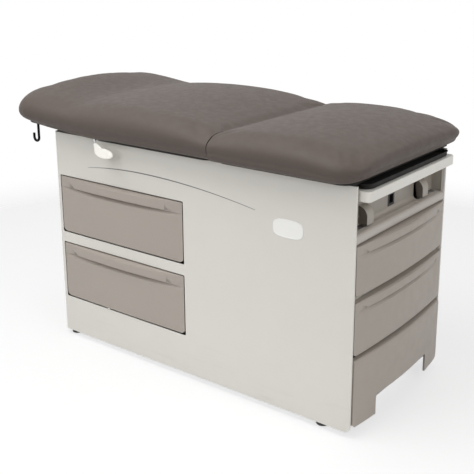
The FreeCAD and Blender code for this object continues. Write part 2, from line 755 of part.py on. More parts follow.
# Release lever on the backrest
def lever_rod():
    # a cross rod and a stem, both set into a small square knuckle
    corner = V(LEVER_X, LEVER_OUTER_Y, LEVER_Z)
    rod = Part.makeCylinder(LEVER_ROD_R, LEVER_INNER_Y - corner.y, corner, Y_AXIS)
    stem = Part.makeCylinder(LEVER_ROD_R, LEVER_STEM_DROP, corner, -Z_AXIS)
    half = LEVER_KNUCKLE
    knuckle = box(LEVER_X - half, LEVER_X + half, corner.y - half, corner.y + half,
                  LEVER_Z - half, LEVER_Z + half)
    finger = box(LEVER_X - LEVER_FINGER_HALF, LEVER_X + LEVER_FINGER_HALF, LEVER_INNER_Y - LEVER_FINGER_T,
                 LEVER_INNER_Y, LEVER_Z - LEVER_FINGER_DROP, LEVER_Z)
    return one(rod.fuse([stem, knuckle, finger]))


def lever_bearings():
    blocks = []
    for y in (-BOARD_HALF + LEVER_BEARING_L, LEVER_INNER_Y - 2 * LEVER_BEARING_L - LEVER_FINGER_T):
        block = box(LEVER_X - LEVER_GROOVE_W / 2, LEVER_X + LEVER_GROOVE_W / 2, y, y + LEVER_BEARING_L,
                    BACK_BOARD_Z - LEVER_BEARING_DROP, BACK_BOARD_Z + LEVER_GROOVE_H)
        hole = Part.makeCylinder(LEVER_ROD_R + PIN_GAP, LEVER_BEARING_L, V(LEVER_X, y, LEVER_Z), Y_AXIS)
        blocks.append(one(block.cut(hole)))
    return Part.makeCompound(blocks)


def lever_paddle():
    y = LEVER_OUTER_Y - PADDLE_T / 2
    stem_end = LEVER_Z - LEVER_STEM_DROP
    top = V(LEVER_X, y, stem_end + PADDLE_SOCKET - PADDLE_TOP_R)
    end = top + V(PADDLE_RUN, 0, -PADDLE_FALL)
    reach = (end - top).Length
    along = (end - top).normalize()
    normal = along.cross(Y_AXIS)
    lean = (PADDLE_TOP_R - PADDLE_END_R) / reach
    rise = math.sqrt(1.0 - lean * lean)
    left = along * lean + normal * rise
    right = along * lean - normal * rise
    outline = Part.Wire([
        line(top + left * PADDLE_TOP_R, end + left * PADDLE_END_R),
        arc(end + left * PADDLE_END_R, end + along * PADDLE_END_R, end + right * PADDLE_END_R),
        line(end + right * PADDLE_END_R, top + right * PADDLE_TOP_R),
        arc(top + right * PADDLE_TOP_R, top - along * PADDLE_TOP_R, top + left * PADDLE_TOP_R),
    ])
    paddle = Part.Face(outline).extrude(V(0, PADDLE_T, 0))
    rims = [e for e in paddle.Edges if abs(abs(e.CenterOfMass.y - LEVER_OUTER_Y) - PADDLE_T / 2) < SAME]
    paddle = paddle.makeChamfer(PADDLE_BEVEL, rims)
    socket = Part.makeCylinder(LEVER_ROD_R + PIN_GAP, PADDLE_SOCKET + PADDLE_TOP_R,
                               V(LEVER_X, LEVER_OUTER_Y, stem_end), Z_AXIS)
    return one(paddle.cut(socket))


def paper_roll_hook():
    # a J bent from square bar, its foot plate under the board
    x = PAD_HEAD_X + HOOK_X_FROM_HEAD
    centre = V(x - HOOK_BEND_R, HOOK_Y - HOOK_WIRE_R, BACK_BOARD_Z - HOOK_DROP)
    outer = HOOK_BEND_R + HOOK_WIRE_R
    inner = HOOK_BEND_R - HOOK_WIRE_R
    rise = V(0, 0, HOOK_TIP_RISE)
    stem = V(0, 0, HOOK_DROP - HOOK_PLATE_T)
    right = X_AXIS
    profile = Part.Wire([
        line(centre + right * outer + stem, centre + right * outer),
        arc(centre + right * outer, centre - Z_AXIS * outer, centre - right * outer),
        line(centre - right * outer, centre - right * outer + rise),
        line(centre - right * outer + rise, centre - right * inner + rise),
        line(centre - right * inner + rise, centre - right * inner),
        arc(centre - right * inner, centre - Z_AXIS * inner, centre + right * inner),
        line(centre + right * inner, centre + right * inner + stem),
        line(centre + right * inner + stem, centre + right * outer + stem),
    ])
    hook = Part.Face(profile).extrude(V(0, 2 * HOOK_WIRE_R, 0))
    half_l = HOOK_PLATE_L / 2
    half_w = HOOK_PLATE_W / 2
    plate = box(x - half_l, x + half_l, HOOK_Y - half_w, HOOK_Y + half_w,
                BACK_BOARD_Z - HOOK_PLATE_T, BACK_BOARD_Z)
    return one(plate.fuse(hook))


def paper_roll_hooks():
    return pair(paper_roll_hook())


# Drawers are drawn facing +X with the back of the front at x = 0, then put in place
def bow_wire(half, bow, thickness, z):
    left = V(thickness, -half, z)
    right = V(thickness, half, z)
    return Part.Wire([
        arc(left, V(thickness + bow, 0, z), right), line(right, V(0, half, z)),
        line(V(0, half, z), V(0, -half, z)), line(V(0, -half, z), left),
    ])


def bow_front(width, z_low, z_top, lip_h, lip_bow, face_bow, low_bow):
    # the two lower corners are cut back, the upper edge is a lip with a groove under it
    lip_low = z_top - lip_h
    shoulder = LIP_ROUND_STEP * LIP_ROUND
    half = width / 2
    stations = [
        (z_low, half - FRONT_CORNER, low_bow - FRONT_EDGE_SLOPE),
        (z_low + FRONT_EDGE, half - FRONT_EDGE_SLOPE, low_bow),
        (z_low + FRONT_CORNER, half, low_bow),
        (lip_low - GROOVE_HEIGHT, half, face_bow),
        (lip_low - GROOVE_ROOF, half, face_bow - GROOVE_DEPTH),
        (lip_low, half, lip_bow - LIP_EDGE),
        (lip_low + LIP_EDGE, half, lip_bow),
        (z_top - LIP_ROUND, half, lip_bow),
        (z_top - shoulder, half, lip_bow - shoulder),
        (z_top, half, lip_bow - LIP_ROUND),
    ]
    wires = [bow_wire(reach, bow, FRONT_T, z) for z, reach, bow in stations]
    return Part.makeLoft(wires, True, True)


def tray_block(x0, x1, half, z_low, z_top, radius, bevel):
    block = bevelled_box(x0, x1, -half, half, z_low, z_top, radius, Z_AXIS)
    floor_edges = [e for e in block.Edges if abs(e.CenterOfMass.z - z_low) < SAME]
    return block.makeChamfer(bevel, floor_edges)


def drawer_box(half, depth, z_low, z_top):
    outer = tray_block(-depth, 0, half, z_low, z_top, BOX_CORNER_R, BOX_FLOOR_BEVEL)
    inner = tray_block(-depth + BOX_WALL, -BOX_WALL, half - BOX_WALL, z_low + BOX_WALL, z_top,
                       BOX_CORNER_R - BOX_WALL, BOX_FLOOR_BEVEL - BOX_WALL / 2)
    return one(outer.cut(inner))


def moving_runners(half, depth, z_mid):
    bar = bevelled_box(-depth, 0, half, half + RUNNER_T, z_mid - RUNNER_H / 2, z_mid + RUNNER_H / 2,
                       RUNNER_BEVEL, X_AXIS)
    return pair(bar)


def fixed_runners(half, web_y, x_back, x_front, z_mid):
    # a channel, open towards the drawer, that holds the moving runner's outer edge
    lip_y = half + RUNNER_T - RUNNER_HOLD
    inner = RUNNER_H / 2 + SLIDE_GAP
    outer = inner + CHANNEL_T
    web_in = web_y - CHANNEL_T
    outline = [
        V(x_back, lip_y, z_mid + outer), V(x_back, web_y, z_mid + outer), V(x_back, web_y, z_mid - outer),
        V(x_back, lip_y, z_mid - outer), V(x_back, lip_y, z_mid - inner), V(x_back, web_in, z_mid - inner),
        V(x_back, web_in, z_mid + inner), V(x_back, lip_y, z_mid + inner),
    ]
    return pair(prism(outline, V(x_front - x_back, 0, 0)))


def to_side(shape):
    turned = shape.copy()
    turned.rotate(ORIGIN, Z_AXIS, -90)
    turned.translate(V(SIDE_CENTRE_X, SIDE_FRONT_BACK_Y, 0))
    return turned


def to_foot(shape):
    moved = shape.copy()
    moved.translate(V(FRONT_BACK_X, 0, 0))
    return moved


SIDE_BOX_HALF = SIDE_OPEN_W / 2 - SIDE_BOX_MARGIN
SIDE_WEB = SIDE_CENTRE_X - INNER_HEAD_X
FOOT_FRONT_HALF = HALF_W - HEM_THICKNESS - FOOT_FRONT_SIDE_GAP
FOOT_BOX_HALF = FOOT_FRONT_HALF - FOOT_BOX_MARGIN


def side_drawer(name, opening_z):
    z_low = opening_z + SIDE_FRONT_LOW_GAP
    z_top = opening_z + SIDE_OPEN_H - FRONT_GAP
    z_mid = z_low + SIDE_RUNNER_RISE
    width = SIDE_OPEN_W - 2 * FRONT_GAP
    front = bow_front(width, z_low, z_top, SIDE_LIP_H, SIDE_LIP_BOW, SIDE_FACE_BOW, SIDE_LOW_BOW)
    tray = drawer_box(SIDE_BOX_HALF, SIDE_BOX_DEPTH, z_low + SIDE_BOX_LOW, z_top - SIDE_BOX_TOP)
    save(name + "_front", to_side(front))
    save(name + "_box", to_side(tray))
    save(name + "_runners", to_side(moving_runners(SIDE_BOX_HALF, SIDE_BOX_DEPTH, z_mid)))
    return to_side(fixed_runners(SIDE_BOX_HALF, SIDE_WEB, -SIDE_BOX_DEPTH, -HEAD_CORNER_R, z_mid))


def foot_drawer(name, z_low, height):
    z_top = z_low + height
    z_mid = z_low + FOOT_RUNNER_SHARE * height
    channel_back = CHANNEL_REAR_X - FRONT_BACK_X
    width = 2 * FOOT_FRONT_HALF
    front = bow_front(width, z_low, z_top, FOOT_LIP_H, FOOT_LIP_BOW, FOOT_FACE_BOW, FOOT_LOW_BOW)
    tray = drawer_box(FOOT_BOX_HALF, FOOT_BOX_DEPTH, z_low + FOOT_BOX_LOW, z_top - FOOT_BOX_TOP)
    save(name + "_front", to_foot(front))
    save(name + "_box", to_foot(tray))
    save(name + "_runners", to_foot(moving_runners(FOOT_BOX_HALF, FOOT_BOX_DEPTH, z_mid)))
    return to_foot(fixed_runners(FOOT_BOX_HALF, INNER_Y, channel_back, -CROSS_RAIL_GAP, z_mid))


# Pull-out step
STEP_FACE_X = FOOT_X + STEP_PROUD
STEP_HALF = FOOT_FRONT_HALF
STEP_BACK_X = STEP_FACE_X - STEP_END_T
STEP_REAR_X = FOOT_X - STEP_LENGTH
STEP_SIDE_Y = INNER_Y - STEP_SIDE_IN
TREAD_TOP_Z = STEP_TOP_Z - MAT_T
STEP_BASE_Z = PANEL_BASE_Z + STEP_LIFT


def step_front():
    # a bowed shell, closed on top by a nose that rolls over into the face
    front = Part.Face(bow_wire(STEP_HALF, STEP_BOW, STEP_END_T, STEP_BASE_Z))
    front = front.extrude(V(0, 0, STEP_TOP_Z - STEP_BASE_Z))
    nose = max(front.Edges, key=lambda edge: edge.CenterOfMass.z * STEP_HALF + edge.CenterOfMass.x)
    front = front.makeFillet(STEP_NOSE_R, [nose])
    hollow = Part.Face(bow_wire(STEP_HALF - STEP_FRONT_T, STEP_BOW, STEP_END_T - STEP_FRONT_T, STEP_BASE_Z))
    front = front.cut(hollow.extrude(V(0, 0, TREAD_TOP_Z - STEP_BASE_Z)))
    reach = STEP_END_T + STEP_BOW + STEP_FRONT_T
    arch = rounded_box(-STEP_FRONT_T, reach, -STEP_ARCH_HALF, STEP_ARCH_HALF, STEP_BASE_Z - STEP_ARCH_H,
                       STEP_BASE_Z + STEP_ARCH_H, STEP_ARCH_R, X_AXIS)
    over = STEP_FRONT_T
    toe = prism([V(-over, STEP_HALF - STEP_TOE_CUT - over, STEP_BASE_Z - over),
                 V(-over, STEP_HALF + over, STEP_BASE_Z - over),
                 V(-over, STEP_HALF + over, STEP_BASE_Z + STEP_TOE_CUT + over)], V(reach + over, 0, 0))
    front = one(front.cut([arch, toe, mirrored(toe)]))
    front.translate(V(STEP_BACK_X, 0, 0))
    return front


def step_frame():
    tread_low = TREAD_TOP_Z - TREAD_T
    nose_x = STEP_FACE_X - STEP_FRONT_T - LIFT_GAP
    nose_half = STEP_HALF - STEP_FRONT_T - LIFT_GAP
    tread = box(STEP_REAR_X, STEP_BACK_X, -STEP_SIDE_Y, STEP_SIDE_Y, tread_low, TREAD_TOP_Z)
    pieces = [box(STEP_BACK_X, nose_x, -nose_half, nose_half, tread_low, TREAD_TOP_Z)]
    low = PANEL_BASE_Z + STEP_SIDE_LOW
    tongue_z = PANEL_BASE_Z + STEP_RUNNER_RISE
    for side in (-1, 1):
        wall_y = sorted((side * STEP_SIDE_Y, side * (STEP_SIDE_Y - SHEET)))
        tongue_y = sorted((side * (STEP_SIDE_Y - SHEET), side * (STEP_SIDE_Y + STEP_RUNNER_OUT)))
        pieces.append(box(STEP_REAR_X, STEP_BACK_X, wall_y[0], wall_y[1], low, TREAD_TOP_Z))
        pieces.append(box(STEP_REAR_X, STEP_BACK_X, tongue_y[0], tongue_y[1],
                          tongue_z, tongue_z + STEP_RUNNER_H))
    return one(tread.fuse(pieces))


def step_mat():
    mat = box(STEP_REAR_X + MAT_RIB_PITCH, STEP_BACK_X - MAT_INSET, -STEP_SIDE_Y, STEP_SIDE_Y,
              TREAD_TOP_Z, STEP_TOP_Z)
    grooves = []
    count = int((STEP_LENGTH - 2 * MAT_RIB_PITCH) / MAT_RIB_PITCH)
    for i in range(1, count):
        x = STEP_REAR_X + MAT_RIB_PITCH + i * MAT_RIB_PITCH
        grooves.append(box(x, x + MAT_RIB_W, -STEP_HALF, STEP_HALF, STEP_TOP_Z - MAT_RIB_DEPTH, STEP_TOP_Z))
    return one(mat.cut(grooves))


def step_guides():
    lip_y = STEP_SIDE_Y + STEP_RUNNER_OUT - RUNNER_HOLD
    low = PANEL_BASE_Z + STEP_RUNNER_RISE - SLIDE_GAP
    top = low + STEP_RUNNER_H + 2 * SLIDE_GAP
    x0 = CHANNEL_REAR_X
    web_in = INNER_Y - CHANNEL_T
    outline = [
        V(x0, lip_y, top + CHANNEL_T), V(x0, INNER_Y, top + CHANNEL_T), V(x0, INNER_Y, low - CHANNEL_T),
        V(x0, lip_y, low - CHANNEL_T), V(x0, lip_y, low), V(x0, web_in, low),
        V(x0, web_in, top), V(x0, lip_y, top),
    ]
    return pair(prism(outline, V(FRONT_BACK_X - CROSS_RAIL_GAP - x0, 0, 0)))


# Leg extension and pan
EXT_GROOVE_Z = EXT_LOW_Z + (EXT_T - EXT_GROOVE_H) / 2


def leg_extension_board():
    board = box(EXT_REAR_X, EXT_FRONT_X, -EXT_HALF, EXT_HALF, EXT_LOW_Z, EXT_TOP_Z)
    front = [e for e in edges_along(board, Z_AXIS) if e.CenterOfMass.x > EXT_REAR_X + EXT_CORNER_R]
    board = board.makeFillet(EXT_CORNER_R, front)
    mid_z = EXT_LOW_Z + EXT_T / 2
    rims = [e for e in board.Edges if abs(abs(e.CenterOfMass.z - mid_z) - EXT_T / 2) < SAME]
    board = board.makeChamfer(EXT_BEVEL, rims)
    groove = box(EXT_REAR_X, FOOT_X - EXT_GUIDE_FRONT + EXT_GUIDE_TIP_GAP, EXT_HALF - EXT_GROOVE_D, EXT_HALF,
                 EXT_GROOVE_Z, EXT_GROOVE_Z + EXT_GROOVE_H)
    return one(board.cut(pair(groove)))


def extension_guides():
    tip = EXT_HALF - EXT_GROOVE_D + EXT_GUIDE_TIP_GAP
    guide = box(EXT_REAR_X, FOOT_X - EXT_GUIDE_FRONT, tip, INNER_Y, EXT_GROOVE_Z + SLIDE_GAP,
                EXT_GROOVE_Z + EXT_GROOVE_H - SLIDE_GAP)
    return pair(guide)


PAN_FRONT_X = EXT_FRONT_X - PAN_SETBACK
PAN_REAR_X = MID_RAIL_X + RAIL_WIDTH + PAN_REAR_GAP
PAN_LOW_Z = EXT_TOP_Z + PAN_LIFT
PAN_TOP_Z = PAN_LOW_Z + PAN_DEPTH
PAN_RIM_HALF = RAIL_INNER_Y - PAN_SIDE_GAP
PAN_BODY_HALF = RAIL_INNER_Y - PAN_GUIDE_W - PAN_SIDE_GAP


def pan_block(inset, half, low, top):
    return rounded_box(PAN_REAR_X + inset, PAN_FRONT_X - inset, -half, half, low, top, PAN_CORNER_R - inset)


def treatment_pan():
    body = pan_block(0, PAN_BODY_HALF, PAN_LOW_Z, PAN_TOP_Z)
    rim = pan_block(0, PAN_RIM_HALF, PAN_TOP_Z - PAN_RIM_T, PAN_TOP_Z)
    hollow = pan_block(PAN_WALL, PAN_BODY_HALF - PAN_WALL, PAN_LOW_Z + PAN_WALL, PAN_TOP_Z)
    return one(body.fuse(rim).cut(hollow))


def pan_guides():
    top = PAN_TOP_Z - PAN_RIM_T - LIFT_GAP
    inner = RAIL_INNER_Y - PAN_GUIDE_W
    return pair(box(PAN_REAR_X, FOOT_X - HEM_LENGTH, inner, RAIL_INNER_Y, top - PAN_GUIDE_T, top))


# Stirrup bay and stirrups
BAY_WALL_X = FOOT_X - BAY_DEPTH
SOCKET_LOW_Z = DECK_TOP_Z + SOCKET_RISE - SOCKET_H / 2


def bay_back_panel():
    outer_r = BAY_COVE_R
    inner_r = BAY_COVE_R - SHEET
    centre = V(BAY_WALL_X + inner_r, -BAY_HALF, DECK_TOP_Z + outer_r)
    top = EXT_LOW_Z - BAY_TOP_GAP
    front = FOOT_X - DECK_SETBACK
    y = -BAY_HALF
    edges = [
        line(V(BAY_WALL_X - SHEET, y, top), V(BAY_WALL_X - SHEET, y, centre.z)),
        arc(V(BAY_WALL_X - SHEET, y, centre.z), centre + V(-outer_r * DIAGONAL, 0, -outer_r * DIAGONAL),
            V(centre.x, y, DECK_TOP_Z)),
        line(V(centre.x, y, DECK_TOP_Z), V(front, y, DECK_TOP_Z)),
        line(V(front, y, DECK_TOP_Z), V(front, y, DECK_TOP_Z + SHEET)),
        line(V(front, y, DECK_TOP_Z + SHEET), V(centre.x, y, DECK_TOP_Z + SHEET)),
        arc(V(centre.x, y, DECK_TOP_Z + SHEET), centre + V(-inner_r * DIAGONAL, 0, -inner_r * DIAGONAL),
            V(BAY_WALL_X, y, centre.z)),
        line(V(BAY_WALL_X, y, centre.z), V(BAY_WALL_X, y, top)),
        line(V(BAY_WALL_X, y, top), V(BAY_WALL_X - SHEET, y, top)),
    ]
    wall = Part.Face(Part.Wire(edges)).extrude(V(0, 2 * BAY_HALF, 0))
    hole = box(BAY_WALL_X - SHEET, BAY_WALL_X, -SOCKET_W / 2, SOCKET_W / 2,
               SOCKET_LOW_Z, SOCKET_LOW_Z + SOCKET_H)
    return one(wall.cut(hole))


def bay_sill():
    # rounded front edge of the bay's floor, over the upper drawer
    half = HALF_W - HEM_THICKNESS - LIFT_GAP
    sill = box(FOOT_X - DECK_SETBACK, FOOT_X, -half, half, DECK_TOP_Z - SILL_DROP, DECK_TOP_Z + SHEET)
    front = [e for e in edges_along(sill, Y_AXIS) if abs(e.CenterOfMass.x - FOOT_X) < SAME]
    return sill.makeFillet(SILL_ROUND, front)


def accessory_socket():
    half = SOCKET_W / 2 - SOCKET_FIT
    low = SOCKET_LOW_Z + SOCKET_FIT
    high = SOCKET_LOW_Z + SOCKET_H - SOCKET_FIT
    face_x = BAY_WALL_X + SOCKET_FLANGE_T
    body = box(BAY_WALL_X - SOCKET_DEPTH, face_x, -half, half, low, high)
    wide = half + SOCKET_FLANGE
    flange = rounded_box(BAY_WALL_X, face_x, -wide, wide, low - SOCKET_FLANGE, high + SOCKET_FLANGE,
                         SOCKET_FLANGE / 2, X_AXIS)
    clear = half - SOCKET_WALL
    cavity = box(BAY_WALL_X - SOCKET_DEPTH + SOCKET_WALL, face_x, -clear, clear,
                 low + SOCKET_WALL, high - SOCKET_WALL)
    return one(body.fuse(flange).cut(cavity))


def stirrup_guide_tubes():
    inner = STIRRUP_BAR / 2 + BAR_GAP
    outer = inner + STIRRUP_TUBE_WALL
    front = PIVOT_X - STIRRUP_TUBE_FRONT
    rear = front - STIRRUP_TUBE_LENGTH
    tube = bevelled_box(rear, front, STIRRUP_Y - outer, STIRRUP_Y + outer, PIVOT_Z - outer, PIVOT_Z + outer,
                        STIRRUP_TUBE_WALL, X_AXIS)
    saddles = []
    for x in (rear + STIRRUP_SADDLE_L, front - 2 * STIRRUP_SADDLE_L):
        saddles.append(box(x, x + STIRRUP_SADDLE_L, STIRRUP_Y - outer, STIRRUP_Y + outer,
                           DECK_TOP_Z, PIVOT_Z))
    bore = box(rear, front, STIRRUP_Y - inner, STIRRUP_Y + inner, PIVOT_Z - inner, PIVOT_Z + inner)
    return pair(one(tube.fuse(saddles).cut(bore)))


def stirrup_bar():
    half = STIRRUP_BAR / 2
    bar = bevelled_box(PIVOT_X - STIRRUP_BAR_LENGTH, PIVOT_X, STIRRUP_Y - half, STIRRUP_Y + half,
                       PIVOT_Z - half, PIVOT_Z + half, STIRRUP_TUBE_WALL, X_AXIS)
    axis = V(PIVOT_X, STIRRUP_Y - half, PIVOT_Z)
    tip = Part.makeCylinder(half, STIRRUP_BAR, axis, Y_AXIS)
    hole = Part.makeCylinder(STIRRUP_PIN_R + PIN_GAP, STIRRUP_BAR, axis, Y_AXIS)
    return one(bar.fuse(tip).cut(hole))


def cup_profile(radius, drop, back, y):
    low_x = math.sqrt(radius * radius - drop * drop)
    middle = math.radians(45) - math.atan2(drop, low_x) / 2
    top = V(PIVOT_X, y, PIVOT_Z + radius)
    knee = V(PIVOT_X + low_x, y, PIVOT_Z - drop)
    heel = V(PIVOT_X - back, y, PIVOT_Z - drop)
    shoulder = V(PIVOT_X - back, y, PIVOT_Z + back)
    bulge = V(PIVOT_X + radius * math.cos(middle), y, PIVOT_Z + radius * math.sin(middle))
    edges = [arc(top, bulge, knee), line(knee, heel), line(heel, shoulder), line(shoulder, top)]
    return Part.Face(Part.Wire(edges))


def heel_cup():
    # quarter-round cup, open at the back, that turns on the ends of its pin
    y0 = STIRRUP_Y - CUP_WIDTH / 2
    shell = cup_profile(CUP_R, CUP_DROP, CUP_BACK, y0).extrude(V(0, CUP_WIDTH, 0))
    inner_r = CUP_R - CUP_WALL
    inside = cup_profile(inner_r, CUP_DROP - CUP_WALL, CUP_R, y0 + CUP_WALL)
    hollow = inside.extrude(V(0, CUP_WIDTH - 2 * CUP_WALL, 0))
    hole = Part.makeCylinder(STIRRUP_PIN_R + PIN_GAP, CUP_WIDTH, V(PIVOT_X, y0, PIVOT_Z), Y_AXIS)
    return one(shell.cut(hollow).cut(hole))


def heel_cup_pin():
    start = V(PIVOT_X, STIRRUP_Y - CUP_WIDTH / 2, PIVOT_Z)
    return Part.makeCylinder(STIRRUP_PIN_R, CUP_WIDTH, start, Y_AXIS)


# Write every piece to its own file
PIECES = [
    near_side_panel, far_side_panel, head_end_panel, floor_pan, inner_deck, partition, foot_pads, foot_stems,
    top_side_rails, top_cross_rails, foot_end_rails, seat_board, seat_pad, backrest_board, backrest_pad,
    hinge_fixed_leaves, hinge_moving_leaves, hinge_pins, gas_spring_cylinder, gas_spring_rod,
    spring_lower_bracket, spring_upper_bracket, lever_rod, lever_bearings, lever_paddle, paper_roll_hooks,
    step_front, step_frame, step_mat, step_guides, leg_extension_board, extension_guides,
    treatment_pan, pan_guides, bay_back_panel, bay_sill, accessory_socket, stirrup_guide_tubes,
]
for make in PIECES:
    save(make.__name__, make())

upper_side = side_drawer("upper_side_drawer", SIDE_UPPER_Z)
lower_side = side_drawer("lower_side_drawer", SIDE_LOWER_Z)
save("side_fixed_runners", Part.makeCompound([upper_side, lower_side]))

upper_foot = foot_drawer("upper_foot_drawer", FOOT_UPPER_Z, FOOT_UPPER_H)
lower_foot = foot_drawer("lower_foot_drawer", FOOT_LOWER_Z, FOOT_LOWER_H)
save("foot_fixed_runners", Part.makeCompound([upper_foot, lower_foot]))

for make in (stirrup_bar, heel_cup, heel_cup_pin):
    save("far_" + make.__name__, make())
    save("near_" + make.__name__, mirrored(make()))
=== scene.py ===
"""Dresses a packed examination table: soft pads, painted cabinet, moulded fronts and fittings."""
import json
import math

import bmesh
import bpy
from bmesh.types import BMEdge, BMFace, BMVert
from bpy.props import FloatProperty, FloatVectorProperty, PointerProperty
from bpy.types import Operator, Panel, PropertyGroup
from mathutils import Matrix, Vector


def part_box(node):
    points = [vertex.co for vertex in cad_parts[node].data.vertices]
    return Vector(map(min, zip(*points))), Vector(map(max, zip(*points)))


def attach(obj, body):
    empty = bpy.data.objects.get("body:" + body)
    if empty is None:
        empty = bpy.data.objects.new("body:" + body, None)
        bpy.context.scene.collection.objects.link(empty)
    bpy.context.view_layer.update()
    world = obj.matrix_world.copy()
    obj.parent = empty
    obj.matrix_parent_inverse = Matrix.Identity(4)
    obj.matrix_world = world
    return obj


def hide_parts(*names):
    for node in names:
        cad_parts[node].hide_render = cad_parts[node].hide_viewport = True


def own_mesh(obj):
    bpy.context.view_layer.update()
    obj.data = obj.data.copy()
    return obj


bl_info = {
    "name": "Examination table",
    "version": (1, 0, 0),
    "blender": (4, 5, 0),
    "location": "View3D > Sidebar > Table",
    "description": "Pads, painted cabinet, moulded fronts and fittings of an examination table",
    "category": "Object",
}

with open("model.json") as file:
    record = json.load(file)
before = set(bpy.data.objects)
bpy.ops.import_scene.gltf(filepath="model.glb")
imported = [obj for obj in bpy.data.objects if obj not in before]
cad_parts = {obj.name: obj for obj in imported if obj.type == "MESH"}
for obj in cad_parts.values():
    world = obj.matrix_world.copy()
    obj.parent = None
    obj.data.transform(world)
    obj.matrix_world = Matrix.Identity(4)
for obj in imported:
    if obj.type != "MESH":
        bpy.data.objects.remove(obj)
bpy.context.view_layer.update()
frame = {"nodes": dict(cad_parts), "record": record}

NODES = frame["nodes"]
RECORD = frame["record"]
BODY_OF = {node: body for body, nodes in RECORD["behaviour"]["bodies"].items() for node in nodes}
SLOT_OF = {part["node"]: part["material_slot"] for part in RECORD["subparts"]}

# Lengths are in metres and plain angles in degrees.

# Pads: the cover's rings and the simulation of its stuffing
BACK_LOW, BACK_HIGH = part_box("backrest_pad")
SEAT_LOW, SEAT_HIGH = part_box("seat_pad")
RING_POINTS = 96
RING_INSET = 0.003
BACK_RINGS = 84
SEAT_RINGS = 64
ROLL_TURN_SHARE = 0.42
SIDE_SHARE = 0.45
SIDE_ROOM = 0.004
COVER_ROOM = 0.0015
CREASE_ROOM = 0.0004
CREASE_SPARE = 0.030
CREASE_SIDE = 0.036
CREASE_BLEND = 0.140
DIMPLE = 0.002
DIMPLE_RUN = 0.010
HEAD_DROP = 0.060
HEAD_TUCK = 0.004
HEAD_SIDE_DROP = 0.055
HEAD_SIDE_ROLL = 0.135
HEAD_SECTION = 0.298
HEAD_BEND_X = BACK_LOW.x + 0.419
HEAD_SLOPE = 0.065
HEAD_WRAP = 0.0128
BACK_WRAP = 0.007
WRAP_START = 0.36
WRAP_RUN = 0.14
BOARD_END = 0.060
BOARD_DRAW_IN = 0.018
FOOT_DROP = 0.006
FOOT_TUCK = 0.042
FOOT_TUCK_RUN = 0.100
FOOT_SIDE_DROP = 0.004
VOXEL = 0.0075
SMOOTH_ROUNDS = 6
SMOOTH_SHARE = 0.5
SIMULATED_FRAMES = 20
CLOTH_QUALITY = 5
PRESSURE = 4.0
HELD_RISE = 0.002
HELD_FADE = 0.012
CREASE_SHARP_ANGLE = 60.0

# Copies of the frame's nodes; FACING is the least part of a face's normal along an axis it faces
MERGE_REACH = 1e-5
FLAT_ANGLE = 0.5
FRONT_ANGLE = 20.0
FACING = 0.9

# Trim of the near panel
STRIPE_START = -0.371
STRIPE_END = 0.312
STRIPE_CREST = Vector((-0.130, 0.0, 0.651))
STRIPE_HEAD_BOW = 0.30
STRIPE_FOOT_BOW = 0.192
STRIPE_PARTS = 96
STRIPE_LIFT = 0.00025
STRIPE_SINK = 0.00005
STRIPE_SWELL = 1.6
STRIPE_TIP = 0.12
STRIPE_TAPER = 0.75
PLATE_MIDDLE = Vector((0.4255, 0.0, 0.579))
PLATE_HALF = Vector((0.0505, 0.0, 0.027))
PLATE_FULLNESS = 0.62
PLATE_POINTS = 72
PLATE_RIM = 0.0022
PLATE_STEP = 0.0005
PLATE_ROUND = 0.45

# Hooks, paddle and mat
HOOK_PLATE = Vector((0.024, 0.016, 0.002))
HOOK_SIDES = 14
HOOK_STEPS = 18
HOOK_TIP_RISE = 0.014
HOOK_TIP_INSET = 0.45
HOOK_TIP_DOME = 0.4
HOOK_PLATE_ROUND = 0.004
PADDLE_MIDDLE = Vector((0.047, 0.0, -0.0295))
PADDLE_HALF = Vector((0.040, 0.0, 0.0168))
PADDLE_NECK = 0.0250
PADDLE_NECK_TURN = math.radians(143.7)
PADDLE_NECK_POWER = 18
PADDLE_POINTS = 120
PADDLE_EDGE = 0.0034
MAT_GROOVE = 0.0011
MAT_EDGE = 0.0009

# Heel cups and the bay round them
CUP_ROUND = 0.030
BAY_SHEET = 0.002

# Stage: the camera, and the share of the floor that is seen as plain white
SENSOR_WIDTH = 36.0
CAMERA_SHIFT = (-0.038, -0.1203)
CAMERA_PLACE = (1.681, -2.127, 1.328)
CAMERA_TURN = (math.pi / 2 - 0.2658, 0.0, 0.6369)
FLOOR_SIZE = 9.0
FLOOR_FADE_START = 1.0
FLOOR_FADE_END = 2.6
FLOOR_WHITENESS = 0.66


def color(name, text, value):
    """A colour that a user may change."""
    return FloatVectorProperty(name=name, description=text, default=value, subtype="COLOR",
                               size=3, min=0.0, max=1.0)


def length(name, text, value):
    """A length that a user may change."""
    return FloatProperty(name=name, description=text, default=value, unit="LENGTH", precision=4)


def wattage(name, text, value):
    """A lamp's power that a user may change."""
    return FloatProperty(name=name, description=text, default=value, unit="POWER")


